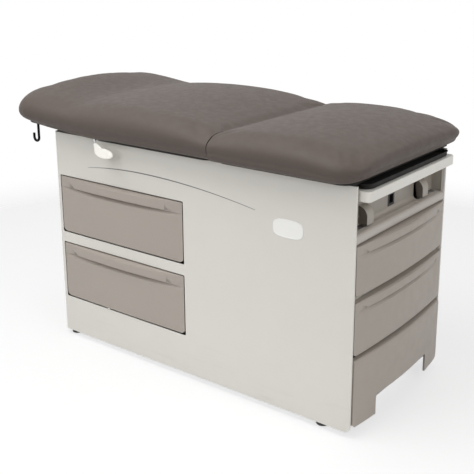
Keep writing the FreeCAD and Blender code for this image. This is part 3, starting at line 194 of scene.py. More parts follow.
class PadSizes(PropertyGroup):
    """Sizes of the two pads; heights are above the pads' base."""
    head_roll: length("Head roll", "Length of the roll at the head end", 0.070)
    foot_roll: length("Foot roll", "Length of the roll at the foot end", 0.060)
    side_roll: length("Side roll", "Width of the roll along the sides", 0.072)
    under_roll: length("Under roll", "Width of the roll under the sides", 0.042)
    crown: length("Crown", "Rise of the middle over the side rolls", 0.010)
    pillow_crown: length("Pillow crown", "Extra rise of the head rest's middle", 0.006)
    pillow: length("Pillow height", "Height of the head rest", 0.1290)
    pillow_slope: length("Pillow slope", "Length of the slope behind the head rest", 0.268)
    valley: length("Valley height", "Height of the backrest where the head rest begins", 0.097)
    back: length("Backrest height", "Height of the backrest's crest", 0.110)
    back_run: length("Backrest run", "Distance from the crease to the backrest's crest", 0.367)
    seat: length("Seat height", "Height of the seat's crest", 0.0955)
    seat_run: length("Seat run", "Distance from the crease to the seat's crest", 0.235)
    seat_fall: length("Seat fall", "Fall of the seat from its crest to the foot end", 0.036)
    crease: length("Crease height", "Height of the pads' tops beside the crease", 0.066)
    pinch: length("Pinch", "Depth of the crease between the two pads", 0.007)
    pinch_run: length("Pinch run", "Length over which the pads draw down into the crease", 0.016)
    corner: length("Corner", "Radius of the corners seen from above", 0.100)
    wrap: length("Wrap", "How far the cover wraps down over the boards' edges", 0.011)
    swell: length("Swell", "Most that the cover may swell", 0.006)
    yield_room: length("Give", "How far a pad gives way when the backrest is up", 0.020)


class TrimSizes(PropertyGroup):
    """Sizes of the fittings and of the softened edges."""
    sheet_edge: length("Sheet edge", "Rounding of the sheet metal's edges", 0.0007)
    front_edge: length("Front edge", "Rounding of the moulded fronts' edges", 0.0022)
    fitting_edge: length("Fitting edge", "Rounding of small moulded parts", 0.0012)
    slab_edge: length("Slab edge", "Rounding of the leg extension's edges", 0.0030)
    hook_wire: length("Hook wire", "Thickness of the paper roll hooks' wire", 0.0086)
    plate_rise: length("Plate rise", "Thickness of the oval plate", 0.0016)
    stripe_width: length("Stripe width", "Width of the painted stripe at its middle", 0.0058)
    mat_rib: length("Mat rib", "Distance between the ribs of the step's mat", 0.011)


class TableColors(PropertyGroup):
    """Colours of the finishes."""
    vinyl: color("Vinyl", "Cover of the pads", (0.089, 0.070, 0.060))
    paint: color("Paint", "Powder coat of the cabinet", (0.640, 0.620, 0.575))
    front: color("Fronts", "Moulded drawer fronts and step", (0.345, 0.305, 0.268))
    cream: color("Cream", "Cross rails between the foot end drawers", (0.600, 0.575, 0.510))
    # Bay: the fronts' taupe, a little darker as painted shade of the recess under the leg
    # extension
    bay: color("Bay", "Wall of the stirrup bay and heel cups", (0.330, 0.300, 0.262))
    # Cup sides: painted shade, the heel cups' taupe darkened where their flat sides face away from
    # the light
    cup_side_painted_shade: color("Cup sides", "Sides of the heel cups", (0.130, 0.110, 0.092))
    # Sill: the fronts' taupe made a little lighter, and lighter still as painted light on its
    # upward facing nose
    sill: color("Sill", "Rounded sill of the stirrup bay", (0.450, 0.412, 0.375))
    slab: color("Slab", "Leg extension board", (0.700, 0.680, 0.630))
    paddle: color("Paddle", "Lever paddle", (0.920, 0.900, 0.840))
    black: color("Black", "Black steel, boards and moulded parts", (0.016, 0.015, 0.014))
    hook: color("Hooks", "Dull black of the paper roll hooks", (0.006, 0.006, 0.006))
    zinc: color("Zinc", "Plated sheet steel", (0.520, 0.525, 0.530))
    bright: color("Bright steel", "Polished rods and bars", (0.640, 0.640, 0.645))
    tray: color("Trays", "Drawer trays", (0.560, 0.550, 0.520))
    rubber: color("Rubber", "Mat of the step", (0.022, 0.021, 0.020))
    plate: color("Plate", "Bare oval plate", (0.820, 0.815, 0.790))
    stripe: color("Stripe", "Painted stripe", (0.180, 0.172, 0.165))


class StageSettings(PropertyGroup):
    """Camera, lamps and floor."""
    lens: FloatProperty(name="Lens", description="Focal length in millimetres", default=64.55)
    key_power: wattage("Key", "Power of the large lamp overhead", 62.0)
    fill_power: wattage("Fill", "Power of the lamp at the foot end", 30.0)
    front_power: wattage("Front", "Power of the lamp at the near side", 30.0)
    sky: FloatProperty(name="Sky", description="Strength of the even light", default=0.42)
    floor: color("Floor", "Pale floor", (0.86, 0.86, 0.86))


# Node groups that several finishes share

GROUPS = {}
NUMBER = "NodeSocketFloat"
VECTOR = "NodeSocketVector"
COLOUR = "NodeSocketColor"
MIX_INPUTS = (0, 6, 7)
MIX_RESULT = 2


def new_group(name, inputs, outputs, **numbers):
    """An empty node group with its sockets, and the nodes that it starts and ends with."""
    group = bpy.data.node_groups.new(name, "ShaderNodeTree")
    for socket, kind in inputs.items():
        group.interface.new_socket(name=socket, in_out="INPUT", socket_type=kind)
    for socket, value in numbers.items():
        made = group.interface.new_socket(name=socket, in_out="INPUT", socket_type=NUMBER)
        made.default_value = value
    for socket, kind in outputs.items():
        group.interface.new_socket(name=socket, in_out="OUTPUT", socket_type=kind)
    GROUPS[name] = group
    return group, group.nodes.new("NodeGroupInput"), group.nodes.new("NodeGroupOutput")


def feed(tree, socket, value):
    """Sets a socket to a constant, or links another node's output to it."""
    if isinstance(value, (int, float, tuple)):
        socket.default_value = value
    else:
        tree.links.new(value, socket)


def math_node(tree, operation, first, second):
    node = tree.nodes.new("ShaderNodeMath")
    node.operation = operation
    for socket, value in zip(node.inputs, (first, second)):
        feed(tree, socket, value)
    return node.outputs["Value"]


def weighted(tree, first, second, share):
    """A sum of two values, with a share of the first and the rest of the second."""
    return math_node(tree, "ADD", math_node(tree, "MULTIPLY", first, share),
                     math_node(tree, "MULTIPLY", second, 1.0 - share))


def ranged(tree, value, from_low, from_high, to_low, to_high):
    """A value eased from one range into another."""
    node = tree.nodes.new("ShaderNodeMapRange")
    node.interpolation_type = "SMOOTHSTEP"
    limits = {"From Min": from_low, "From Max": from_high, "To Min": to_low, "To Max": to_high}
    for socket, number in limits.items():
        node.inputs[socket].default_value = number
    tree.links.new(value, node.inputs["Value"])
    return node.outputs["Result"]


def noise_node(tree, place, scale, detail, roughness=0.55):
    node = tree.nodes.new("ShaderNodeTexNoise")
    tree.links.new(place, node.inputs["Vector"])
    feed(tree, node.inputs["Scale"], scale)
    node.inputs["Detail"].default_value = detail
    node.inputs["Roughness"].default_value = roughness
    return node.outputs["Fac"]


def mixed_color(tree, factor, first, second, blend="MIX"):
    node = tree.nodes.new("ShaderNodeMix")
    node.data_type = "RGBA"
    node.blend_type = blend
    for socket, value in zip(MIX_INPUTS, (factor, first, second)):
        feed(tree, node.inputs[socket], value)
    return node.outputs[MIX_RESULT]


def build_tone_group():
    """Slow change of a finish's colour, and a finer one of its gloss."""
    tree, start, end = new_group("uneven_tone", {"Place": VECTOR, "Colour": COLOUR},
                                 {"Colour": COLOUR, "Mottle": NUMBER}, Scale=4.0, Depth=0.06)
    place, scale = start.outputs["Place"], start.outputs["Scale"]
    broad = noise_node(tree, place, scale, detail=3.0)
    fine_scale = math_node(tree, "MULTIPLY", scale, 9.0)
    fine = noise_node(tree, place, fine_scale, detail=5.0)
    spread = math_node(tree, "SUBTRACT", weighted(tree, broad, fine, share=0.7), 0.5)
    spread = math_node(tree, "MULTIPLY", spread, start.outputs["Depth"])
    level = math_node(tree, "ADD", math_node(tree, "MULTIPLY", spread, 4.0), 1.0)
    grey = tree.nodes.new("ShaderNodeCombineColor")
    for socket in grey.inputs:
        tree.links.new(level, socket)
    tinted = mixed_color(tree, 1.0, start.outputs["Colour"], grey.outputs["Color"], "MULTIPLY")
    tree.links.new(tinted, end.inputs["Colour"])
    tree.links.new(fine, end.inputs["Mottle"])


def build_stipple_group():
    """Fine texture of powder coat and of moulded plastic."""
    tree, start, end = new_group("stipple", {"Place": VECTOR}, {"Height": NUMBER}, Scale=700.0)
    place, scale = start.outputs["Place"], start.outputs["Scale"]
    peel = noise_node(tree, place, scale, detail=2.0, roughness=0.5)
    wide_scale = math_node(tree, "MULTIPLY", scale, 0.23)
    wide = noise_node(tree, place, wide_scale, detail=1.0, roughness=0.5)
    tree.links.new(weighted(tree, peel, wide, share=0.6), end.inputs["Height"])


def build_leather_group():
    """Pebbled grain of upholstery vinyl, with soft pores between the pebbles."""
    tree, start, end = new_group("pebble_grain", {"Place": VECTOR},
                                 {"Height": NUMBER, "Pores": NUMBER}, Scale=620.0)
    cells = tree.nodes.new("ShaderNodeTexVoronoi")
    cells.feature = "DISTANCE_TO_EDGE"
    tree.links.new(start.outputs["Place"], cells.inputs["Vector"])
    tree.links.new(start.outputs["Scale"], cells.inputs["Scale"])
    pores = ranged(tree, cells.outputs["Distance"], 0.0, 0.22, 0.0, 1.0)
    rough = noise_node(tree, start.outputs["Place"], start.outputs["Scale"], detail=3.0)
    tree.links.new(weighted(tree, pores, rough, share=0.75), end.inputs["Height"])
    tree.links.new(pores, end.inputs["Pores"])


def build_scuff_group():
    """Marks that feet and mops leave low on the cabinet, fading upwards."""
    tree, start, end = new_group("low_scuffs", {"Place": VECTOR}, {"Mask": NUMBER}, Reach=0.22)
    split = tree.nodes.new("ShaderNodeSeparateXYZ")
    tree.links.new(start.outputs["Place"], split.inputs["Vector"])
    share = math_node(tree, "DIVIDE", split.outputs["Z"], start.outputs["Reach"])
    low = ranged(tree, share, 0.0, 1.0, 1.0, 0.0)
    long = tree.nodes.new("ShaderNodeMapping")
    long.inputs["Scale"].default_value = (5.0, 5.0, 42.0)
    tree.links.new(start.outputs["Place"], long.inputs["Vector"])
    streaks = noise_node(tree, long.outputs["Vector"], scale=1.0, detail=6.0, roughness=0.7)
    streaks = ranged(tree, streaks, 0.52, 0.74, 0.0, 1.0)
    haze = noise_node(tree, start.outputs["Place"], scale=14.0, detail=4.0)
    marks = weighted(tree, streaks, haze, share=0.6)
    tree.links.new(math_node(tree, "MULTIPLY", marks, low), end.inputs["Mask"])


def build_brushed_group():
    """Fine lines of drawn or brushed steel along one direction."""
    tree, start, end = new_group("drawn_lines", {"Place": VECTOR, "Stretch": VECTOR},
                                 {"Lines": NUMBER})
    scaled = tree.nodes.new("ShaderNodeVectorMath")
    scaled.operation = "MULTIPLY"
    tree.links.new(start.outputs["Place"], scaled.inputs[0])
    tree.links.new(start.outputs["Stretch"], scaled.inputs[1])
    lines = noise_node(tree, scaled.outputs["Vector"], scale=1.0, detail=4.0, roughness=0.6)
    tree.links.new(lines, end.inputs["Lines"])


# Finishes

FINISHES = {}


class Finish:
    """A material in the making: its tree, its shader and its object coordinates."""

    def __init__(self, name):
        self.material = bpy.data.materials.new(name)
        self.material.use_nodes = True
        self.tree = self.material.node_tree
        self.shader = self.tree.nodes["Principled BSDF"]
        self.place = self.tree.nodes.new("ShaderNodeTexCoord").outputs["Object"]
        FINISHES[name] = self.material

    def group(self, name, **values):
        node = self.tree.nodes.new("ShaderNodeGroup")
        node.node_tree = GROUPS[name]
        self.tree.links.new(self.place, node.inputs["Place"])
        for socket, value in values.items():
            node.inputs[socket].default_value = value
        return node.outputs

    def link(self, output, socket):
        self.tree.links.new(output, self.shader.inputs[socket])

    def set(self, **values):
        for socket, value in values.items():
            self.shader.inputs[socket.replace("_", " ")].default_value = value

    def bump(self, height, depth, strength):
        node = self.tree.nodes.new("ShaderNodeBump")
        node.inputs["Strength"].default_value = strength
        node.inputs["Distance"].default_value = depth
        self.tree.links.new(height, node.inputs["Height"])
        self.link(node.outputs["Normal"], "Normal")

    def ranged(self, value, low, high, from_low=0.3, from_high=0.7):
        return ranged(self.tree, value, from_low, from_high, low, high)


def with_alpha(value, share=1.0):
    """A colour with its alpha, made darker or lighter by a share."""
    return tuple(share * part for part in value) + (1.0,)


def vinyl_finish(colors):
    """Upholstery vinyl, a little darker in its pores."""
    finish = Finish("vinyl")
    tone = finish.group("uneven_tone", Colour=with_alpha(colors.vinyl), Scale=5.0, Depth=0.012)
    grain = finish.group("pebble_grain", Scale=640.0)
    dark = with_alpha(colors.vinyl, share=0.72)
    shade = finish.ranged(grain["Pores"], 0.40, 0.0, from_low=0.0, from_high=0.6)
    finish.link(mixed_color(finish.tree, shade, tone["Colour"], dark), "Base Color")
    finish.link(finish.ranged(tone["Mottle"], 0.50, 0.60), "Roughness")
    finish.set(Specular_IOR_Level=0.26)
    finish.bump(grain["Height"], depth=0.0003, strength=0.35)


def paint_finish(name, value, rough_low, rough_high, scuffed):
    """Powder coat, with marks low down where feet reach it."""
    finish = Finish(name)
    tone = finish.group("uneven_tone", Colour=with_alpha(value), Scale=2.4, Depth=0.018)
    shade = tone["Colour"]
    if scuffed:
        marks = finish.group("low_scuffs", Reach=0.20)
        soiled = with_alpha(value, share=0.62)
        faint = math_node(finish.tree, "MULTIPLY", marks["Mask"], 0.34)
        shade = mixed_color(finish.tree, faint, shade, soiled)
    finish.link(shade, "Base Color")
    finish.link(finish.ranged(tone["Mottle"], rough_low, rough_high), "Roughness")
    peel = finish.group("stipple", Scale=520.0)
    finish.bump(peel["Height"], depth=0.00022, strength=0.25)


def moulded_finish(name, value, rough_low, rough_high, grain, depth, gloss=0.5):
    """Moulded plastic with a fine spark texture."""
    finish = Finish(name)
    finish.set(Specular_IOR_Level=gloss)
    tone = finish.group("uneven_tone", Colour=with_alpha(value), Scale=3.2, Depth=0.022)
    finish.link(tone["Colour"], "Base Color")
    finish.link(finish.ranged(tone["Mottle"], rough_low, rough_high), "Roughness")
    finish.bump(finish.group("stipple", Scale=grain)["Height"], depth, strength=0.35)


def steel_finish(name, value, rough_low, rough_high, stretch):
    """Plated or polished steel with faint drawing lines."""
    finish = Finish(name)
    tone = finish.group("uneven_tone", Colour=with_alpha(value), Scale=7.0, Depth=0.05)
    finish.link(tone["Colour"], "Base Color")
    lines = finish.group("drawn_lines", Stretch=stretch)
    finish.link(finish.ranged(lines["Lines"], rough_low, rough_high), "Roughness")
    finish.set(Metallic=1.0)
    finish.bump(lines["Lines"], depth=0.00005, strength=0.2)


def board_finish(colors):
    """Black painted plywood with its grain showing through."""
    finish = Finish("board")
    tone = finish.group("uneven_tone", Colour=with_alpha(colors.black), Scale=6.0, Depth=0.10)
    grain = finish.group("drawn_lines", Stretch=(14.0, 260.0, 900.0))
    worn = with_alpha(colors.black, share=2.4)
    shade = finish.ranged(grain["Lines"], 0.0, 0.5, from_low=0.5, from_high=0.8)
    finish.link(mixed_color(finish.tree, shade, tone["Colour"], worn), "Base Color")
    finish.link(finish.ranged(tone["Mottle"], 0.56, 0.70), "Roughness")
    finish.set(Specular_IOR_Level=0.2)
    finish.bump(grain["Lines"], depth=0.0003, strength=0.3)


# Meshes

def finish_piece(piece, finish, body, slot, *nodes):
    """Gives a piece its finish, the body that carries it and the nodes that it stands for."""
    piece.data.materials.clear()
    piece.data.materials.append(FINISHES[finish])
    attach(piece, body)
    if nodes:
        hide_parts(*nodes)
    return piece


def stand_in(piece, finish, node):
    """Lets a piece take the place of one node, on the same body."""
    return finish_piece(piece, finish, BODY_OF[node], SLOT_OF[node], node)


def from_bmesh(name, bm, smooth_angle=35.0):
    """An object with the mesh of a bmesh, smooth where its faces meet at a lesser angle."""
    mesh = bpy.data.meshes.new(name)
    bm.to_mesh(mesh)
    bm.free()
    mesh.shade_smooth()
    mesh.set_sharp_from_angle(angle=math.radians(smooth_angle))
    piece = bpy.data.objects.new(name, mesh)
    bpy.context.scene.collection.objects.link(piece)
    return piece


def evaluated_mesh(piece):
    """A piece's mesh as its modifiers leave it."""
    graph = bpy.context.evaluated_depsgraph_get()
    return bpy.data.meshes.new_from_object(piece.evaluated_get(graph))


def picked(parts, kind):
    """The vertices, edges or faces among the parts that an operator gives back."""
    return [part for part in parts if isinstance(part, kind)]


def edges_of(points):
    return list({edge for point in points for edge in point.link_edges})


def cut_through(bm, place, normal, clear_outer=False):
    """Cuts a mesh along a plane and gives the edges of the cut."""
    parts = list(bm.verts) + list(bm.edges) + list(bm.faces)
    cut = bmesh.ops.bisect_plane(bm, geom=parts, plane_co=place, plane_no=normal,
                                 clear_outer=clear_outer)["geom_cut"]
    return picked(cut, BMEdge)


def thickened(bm, way):
    """Extrudes a flat mesh and gives the parts of its new side."""
    made = bmesh.ops.extrude_face_region(bm, geom=bm.faces)["geom"]
    bmesh.ops.translate(bm, verts=picked(made, BMVert), vec=way)
    return made


def face_outward(bm):
    bmesh.ops.recalc_face_normals(bm, faces=bm.faces)


def round_edges(bm, edges, width, segments):
    bmesh.ops.bevel(bm, geom=edges, offset=width, segments=segments, profile=0.5,
                    affect="EDGES", material=-1)


def add_box(bm, middle, size):
    """Adds a box to a mesh and gives its corners."""
    corners = bmesh.ops.create_cube(bm, size=1.0)["verts"]
    bmesh.ops.scale(bm, verts=corners, vec=size)
    bmesh.ops.translate(bm, verts=corners, vec=middle)
    return corners


def merged_copy(node):
    """A copy of a node's mesh with its loose triangles joined into whole faces."""
    bm = bmesh.new()
    bm.from_mesh(NODES[node].data)
    bmesh.ops.remove_doubles(bm, verts=bm.verts, dist=MERGE_REACH)
    bmesh.ops.dissolve_limit(bm, angle_limit=math.radians(FLAT_ANGLE), verts=bm.verts,
                             edges=bm.edges)
    return bm


def softened(node, width, finish, angle=28.0):
    """A copy of a node with its edges rounded, which stands for the node."""
    piece = from_bmesh(node + "_finished", merged_copy(node), angle)
    rounding = piece.modifiers.new("rounding", "BEVEL")
    rounding.width = width
    rounding.segments = 3
    rounding.profile = 0.5
    rounding.limit_method = "ANGLE"
    rounding.angle_limit = math.radians(angle)
    rounding.use_clamp_overlap = True
    return stand_in(piece, finish, node)


# Pads

def quarter(share):
    """Height of a quarter circle at a share of its run."""
    rest = 1.0 - min(max(share, 0.0), 1.0)
    return math.sqrt(1.0 - rest * rest)


def ease(share):
    """A share that starts and stops gently."""
    held = min(max(share, 0.0), 1.0)
    return held * held * (3.0 - 2.0 * held)


class Station:
    """A place along a pad: half width, side roll, and heights of base, side, top and crown."""

    def __init__(self, x, half, roll, low, side, top, crown):
        self.x, self.half, self.roll = x, half, roll
        self.low, self.top, self.crown = low, top, crown
        self.side = min(max(side, low + SIDE_ROOM), top - crown - SIDE_ROOM)


def skin_place(turn, at, sizes):
    """Where the cover runs at a turn round the pad's section."""
    upper = turn >= 0.0
    roll = min(at.roll if upper else sizes.under_roll, at.half / 2)
    crown = at.crown if upper else 0.0
    shoulder = at.top - crown if upper else at.low
    way = abs(turn) / (math.pi / 2)
    near = 1.0
    if way > 1.0:
        way = 2.0 - way
        near = -1.0
    if way < ROLL_TURN_SHARE:
        bend = math.pi / 2 * way / ROLL_TURN_SHARE
        out = at.half - roll + roll * math.cos(bend)
        return near * out, at.side + (shoulder - at.side) * math.sin(bend)
    inward = 1.0 - (way - ROLL_TURN_SHARE) / (1.0 - ROLL_TURN_SHARE)
    return near * (at.half - roll) * inward, shoulder + crown * (1.0 - inward * inward)


def add_ring(bm, station, sizes):
    """Adds one ring of a pad's cover and gives its edges."""
    ring = bmesh.ops.create_circle(bm, segments=RING_POINTS, radius=1.0)["verts"]
    edges = edges_of(ring)
    for point in ring:
        y, z = skin_place(math.atan2(point.co.y, point.co.x), station, sizes)
        point.co = (station.x, y, z)
    return edges


def skin_pad(name, stations, sizes):
    """Bridges the rings of a pad's cover and closes its two ends."""
    bm = bmesh.new()
    rings = [add_ring(bm, station, sizes) for station in stations]
    for first, second in zip(rings, rings[1:]):
        bmesh.ops.bridge_loops(bm, edges=first + second)
    for end in (rings[0], rings[-1]):
        bmesh.ops.contextual_create(bm, geom=end)
    face_outward(bm)
    return from_bmesh(name, bm, smooth_angle=180.0)


def remeshed(piece):
    """Replaces a pad's mesh by even faces, then relaxes them."""
    remesh = piece.modifiers.new("even", "REMESH")
    remesh.mode = "VOXEL"
    remesh.voxel_size = VOXEL
    bpy.context.view_layer.update()
    even = evaluated_mesh(piece)
    piece.modifiers.clear()
    piece.data = even
    bm = bmesh.new()
    bm.from_mesh(even)
    for _ in range(SMOOTH_ROUNDS):
        bmesh.ops.smooth_vert(bm, verts=bm.verts, factor=SMOOTH_SHARE,
                              use_axis_x=True, use_axis_y=True, use_axis_z=True)
    bm.to_mesh(even)
    bm.free()
    even.shade_smooth()


def stuffed(piece, base, most):
    """Presses the stuffing against the cover, as cloth whose base is held on its board."""
    group = piece.vertex_groups.new(name="held")
    for point in piece.data.vertices:
        rise = point.co.z - base
        group.add([point.index], 1.0 - ease((rise - HELD_RISE) / HELD_FADE), "REPLACE")
    start = [point.co.copy() for point in piece.data.vertices]
    cloth = piece.modifiers.new("cover", "CLOTH")
    settings = cloth.settings
    settings.quality = CLOTH_QUALITY
    settings.use_pressure = True
    settings.uniform_pressure_force = PRESSURE
    settings.effector_weights.gravity = 0.0
    settings.vertex_group_mass = "held"
    cloth.point_cache.frame_start = 1
    cloth.point_cache.frame_end = SIMULATED_FRAMES
    scene = bpy.context.scene
    for step in range(1, SIMULATED_FRAMES + 1):
        scene.frame_set(step)
    swollen = evaluated_mesh(piece)
    for point, origin in zip(swollen.vertices, start):
        move = point.co - origin
        if move.length > most:
            point.co = origin + move * (most / move.length)
    piece.modifiers.clear()
    piece.vertex_groups.clear()
    piece.data = swollen
    scene.frame_set(1)
    swollen.shade_smooth()


def cut_at_crease(mesh, x, outward):
    """Cuts a pad flat where it meets its neighbour, and closes the cut."""
    bm = bmesh.new()
    bm.from_mesh(mesh)
    rim = cut_through(bm, (x, 0.0, 0.0), (outward, 0.0, 0.0), clear_outer=True)
    bmesh.ops.contextual_create(bm, geom=rim)
    face_outward(bm)
    bm.to_mesh(mesh)
    bm.free()
    mesh.shade_smooth()
    mesh.set_sharp_from_angle(angle=math.radians(CREASE_SHARP_ANGLE))


def pad_piece(name, stations, base, sizes, crease_x, outward):
    """A pad's whole cover, cut flat at the crease."""
    piece = skin_pad(name, stations, sizes)
    remeshed(piece)
    stuffed(piece, base, sizes.swell)
    fine = piece.modifiers.new("fine", "SUBSURF")
    fine.levels = 1
    fine.render_levels = 1
    applied = evaluated_mesh(piece)
    piece.modifiers.clear()
    piece.data = applied
    cut_at_crease(applied, crease_x, outward)
    return piece


def spaced(start, end, count):
    """Places along a pad, closer together at the ends, which roll."""
    shares = [0.5 - 0.5 * math.cos(math.pi * i / count) for i in range(count + 1)]
    return [start + (end - start) * share for share in shares]


def head_rise(x):
    """How far the backrest's head end is bent up at a place along it."""
    return HEAD_SLOPE * max(0.0, HEAD_BEND_X - x)


def domed(share, low, top):
    """Height of a dome at a share of the way from its top to its edge."""
    return top - (top - low) * share * share


def creased(distance, top, run, sizes):
    """Height of a pad's top between the crease and its crest."""
    near = abs(distance)
    pinch = sizes.pinch * (1.0 - quarter(near / sizes.pinch_run))
    return domed(max(0.0, run - near) / run, sizes.crease, top) - pinch


def back_top(s, run, sizes):
    """Height of the backrest's top at a distance from its head end."""
    crest = run - sizes.back_run
    if s < HEAD_SECTION:
        share = ease((HEAD_SECTION - s) / sizes.pillow_slope)
        return sizes.valley + (sizes.pillow - sizes.valley) * share
    if s < crest:
        return domed((crest - s) / (crest - HEAD_SECTION), sizes.valley, sizes.back)
    return creased(run - s, sizes.back, sizes.back_run, sizes)


def back_stations(sizes):
    """Rings of the backrest pad, which run a little past the crease."""
    run = BACK_HIGH.x - BACK_LOW.x
    base = BACK_LOW.z
    half_width = BACK_HIGH.y - COVER_ROOM
    rows = []
    for s in spaced(RING_INSET, run + CREASE_SPARE, BACK_RINGS):
        to_crease = abs(run - s)
        rolled = quarter(s / sizes.head_roll)
        on_pillow = ease((HEAD_SECTION - s) / sizes.pillow_slope)
        half = half_width - sizes.corner * (1.0 - quarter(s / sizes.corner))
        half -= DIMPLE * (1.0 - quarter(to_crease / DIMPLE_RUN))
        top = back_top(s, run, sizes) - HEAD_DROP * (1.0 - rolled)
        low = head_rise(BACK_LOW.x + s) + HEAD_TUCK * (1.0 - rolled)
        low -= HEAD_WRAP + (BACK_WRAP - HEAD_WRAP) * ease((s - WRAP_START) / WRAP_RUN)
        side = low + SIDE_SHARE * (sizes.valley - low) - HEAD_SIDE_DROP * (1.0 - rolled)
        side += (CREASE_SIDE - side) * (1.0 - ease(to_crease / CREASE_BLEND))
        crown = sizes.crown * ease(to_crease / sizes.back_run) + sizes.pillow_crown * on_pillow
        roll = HEAD_SIDE_ROLL + (sizes.side_roll - HEAD_SIDE_ROLL) * ease(s / HEAD_SECTION)
        rows.append(Station(BACK_LOW.x + s, half, roll, base + low, base + side, base + top,
                            crown * rolled))
    return rows


def seat_top(s, run, sizes):
    """Height of the seat's top at a distance from the crease."""
    if s < sizes.seat_run:
        return creased(s, sizes.seat, sizes.seat_run, sizes)
    share = (s - sizes.seat_run) / (run - sizes.seat_run)
    return domed(share, sizes.seat - sizes.seat_fall, sizes.seat)


def seat_stations(sizes):
    """Rings of the seat pad, which start a little before the crease."""
    run = SEAT_HIGH.x - SEAT_LOW.x
    base = SEAT_LOW.z
    half_width = SEAT_HIGH.y - COVER_ROOM
    rows = []
    for s in spaced(-CREASE_SPARE, run - RING_INSET, SEAT_RINGS):
        to_foot = run - s
        rolled = quarter(to_foot / sizes.foot_roll)
        half = half_width - sizes.corner * (1.0 - quarter(to_foot / sizes.corner))
        half -= DIMPLE * (1.0 - quarter(abs(s) / DIMPLE_RUN))
        top = seat_top(s, run, sizes) - FOOT_DROP * (1.0 - rolled)
        tucked = 1.0 - quarter(to_foot / FOOT_TUCK_RUN)
        low = FOOT_TUCK * tucked - sizes.wrap * (1.0 - tucked)
        side = low + SIDE_SHARE * (top - low) - FOOT_SIDE_DROP * (1.0 - rolled)
        side += (CREASE_SIDE - side) * (1.0 - ease(abs(s) / CREASE_BLEND))
        crown = sizes.crown * ease(abs(s) / sizes.seat_run) * rolled
        rows.append(Station(SEAT_LOW.x + s, half, sizes.side_roll, base + low, base + side,
                            base + top, crown))
    return rows


class TABLE_OT_pads(Operator):
    """Makes the two pads, each cut flat where it meets the other at the crease."""
    bl_idname = "table.pads"
    bl_label = "Pads"

    def execute(self, context):
        sizes = context.scene.table_pads
        back = pad_piece("backrest_cushion", back_stations(sizes), BACK_LOW.z, sizes,
                         BACK_HIGH.x - CREASE_ROOM, 1.0)
        finish_piece(back, "vinyl", "backrest", "upholstery", "backrest_pad")
        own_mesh(back)
        seat = pad_piece("seat_cushion", seat_stations(sizes), SEAT_LOW.z, sizes,
                         SEAT_LOW.x + CREASE_ROOM, -1.0)
        finish_piece(seat, "vinyl", "cabinet", "upholstery", "seat_pad")
        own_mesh(seat)
        return {"FINISHED"}


class TABLE_OT_finishes(Operator):
    """Makes the finishes and gives one to every node of the frame."""
    bl_idname = "table.finishes"
    bl_label = "Finishes"

    def execute(self, context):
        colors = context.scene.table_colors
        build_tone_group()
        build_stipple_group()
        build_leather_group()
        build_scuff_group()
        build_brushed_group()
        vinyl_finish(colors)
        paint_finish("panel", colors.paint, 0.34, 0.46, scuffed=True)
        paint_finish("black_steel", colors.black, 0.30, 0.42, scuffed=False)
        # Name, colour, least and most roughness, scale and depth of the grain, and gloss
        for row in (
                ("hook_black", colors.hook, 0.66, 0.80, 900.0, 0.0001, 0.1),
                ("drawer_front", colors.front, 0.42, 0.54, 900.0, 0.00018),
                ("cream", colors.cream, 0.40, 0.52, 900.0, 0.00016),
                # The bay's colour holds a little painted shade of the recess
                ("bay", colors.bay, 0.40, 0.52, 900.0, 0.00016),
                # Painted shade for the heel cups' flat sides
                ("cup_side_painted_shade", colors.cup_side_painted_shade, 0.46, 0.58, 900.0, 0.00016, 0.3),
                # The sill's colour holds painted light on its upward face
                ("sill", colors.sill, 0.38, 0.50, 900.0, 0.00016),
                ("slab", colors.slab, 0.34, 0.46, 420.0, 0.00012),
                ("paddle", colors.paddle, 0.22, 0.34, 1200.0, 0.00008),
                ("black_plastic", colors.black, 0.34, 0.48, 1000.0, 0.00018),
                ("pan_black", colors.black, 0.56, 0.70, 700.0, 0.00022, 0.18),
                ("drawer_box", colors.tray, 0.44, 0.58, 1000.0, 0.00016),
                ("mat", colors.rubber, 0.62, 0.78, 1400.0, 0.00025),
                ("plate", colors.plate, 0.18, 0.28, 500.0, 0.00006),
                ("stripe", colors.stripe, 0.38, 0.50, 800.0, 0.00006)):
            moulded_finish(*row)
        steel_finish("frame_steel", colors.zinc, 0.34, 0.52, stretch=(40.0, 40.0, 40.0))
        steel_finish("bright_steel", colors.bright, 0.16, 0.30, stretch=(30.0, 600.0, 600.0))
        board_finish(colors)
        FINISHES["upholstery"] = FINISHES["vinyl"]
        for name, node in NODES.items():
            node.data.materials.clear()
            node.data.materials.append(FINISHES[SLOT_OF[name]])
        return {"FINISHED"}


class TABLE_OT_cabinet(Operator):
    """Rounds the edges of the cabinet's sheets, rails and sill."""
    bl_idname = "table.cabinet"
    bl_label = "Cabinet"

    def execute(self, context):
        trim = context.scene.table_trim
        for node in ("near_side_panel", "far_side_panel", "head_end_panel"):
            softened(node, trim.sheet_edge, "panel")
        softened("foot_end_rails", trim.fitting_edge, "cream")
        softened("bay_back_panel", trim.fitting_edge, "bay")
        # The sill takes the lighter colour, which holds painted light on its upward face
        softened("bay_sill", trim.fitting_edge, "sill")
        return {"FINISHED"}


class TABLE_OT_boards(Operator):
    """Draws the pads' boards in at their ends, and bends the backrest's one at the head rest."""
    bl_idname = "table.boards"
    bl_label = "Boards under the pads"

    def execute(self, context):
        back = merged_copy("backrest_board")
        cut_through(back, (HEAD_BEND_X, 0.0, 0.0), (1.0, 0.0, 0.0))
        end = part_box("backrest_board")[0].x + BOARD_END
        for point in back.verts:
            point.co.x += BOARD_DRAW_IN * (point.co.x < end)
            point.co.z += head_rise(point.co.x)
        stand_in(from_bmesh("bent_board", back, smooth_angle=3.0), "board", "backrest_board")
        seat = merged_copy("seat_board")
        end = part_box("seat_board")[1].x - BOARD_END
        for point in seat.verts:
            point.co.x -= BOARD_DRAW_IN * (point.co.x > end)
        stand_in(from_bmesh("drawn_in_board", seat), "board", "seat_board")
        return {"FINISHED"}


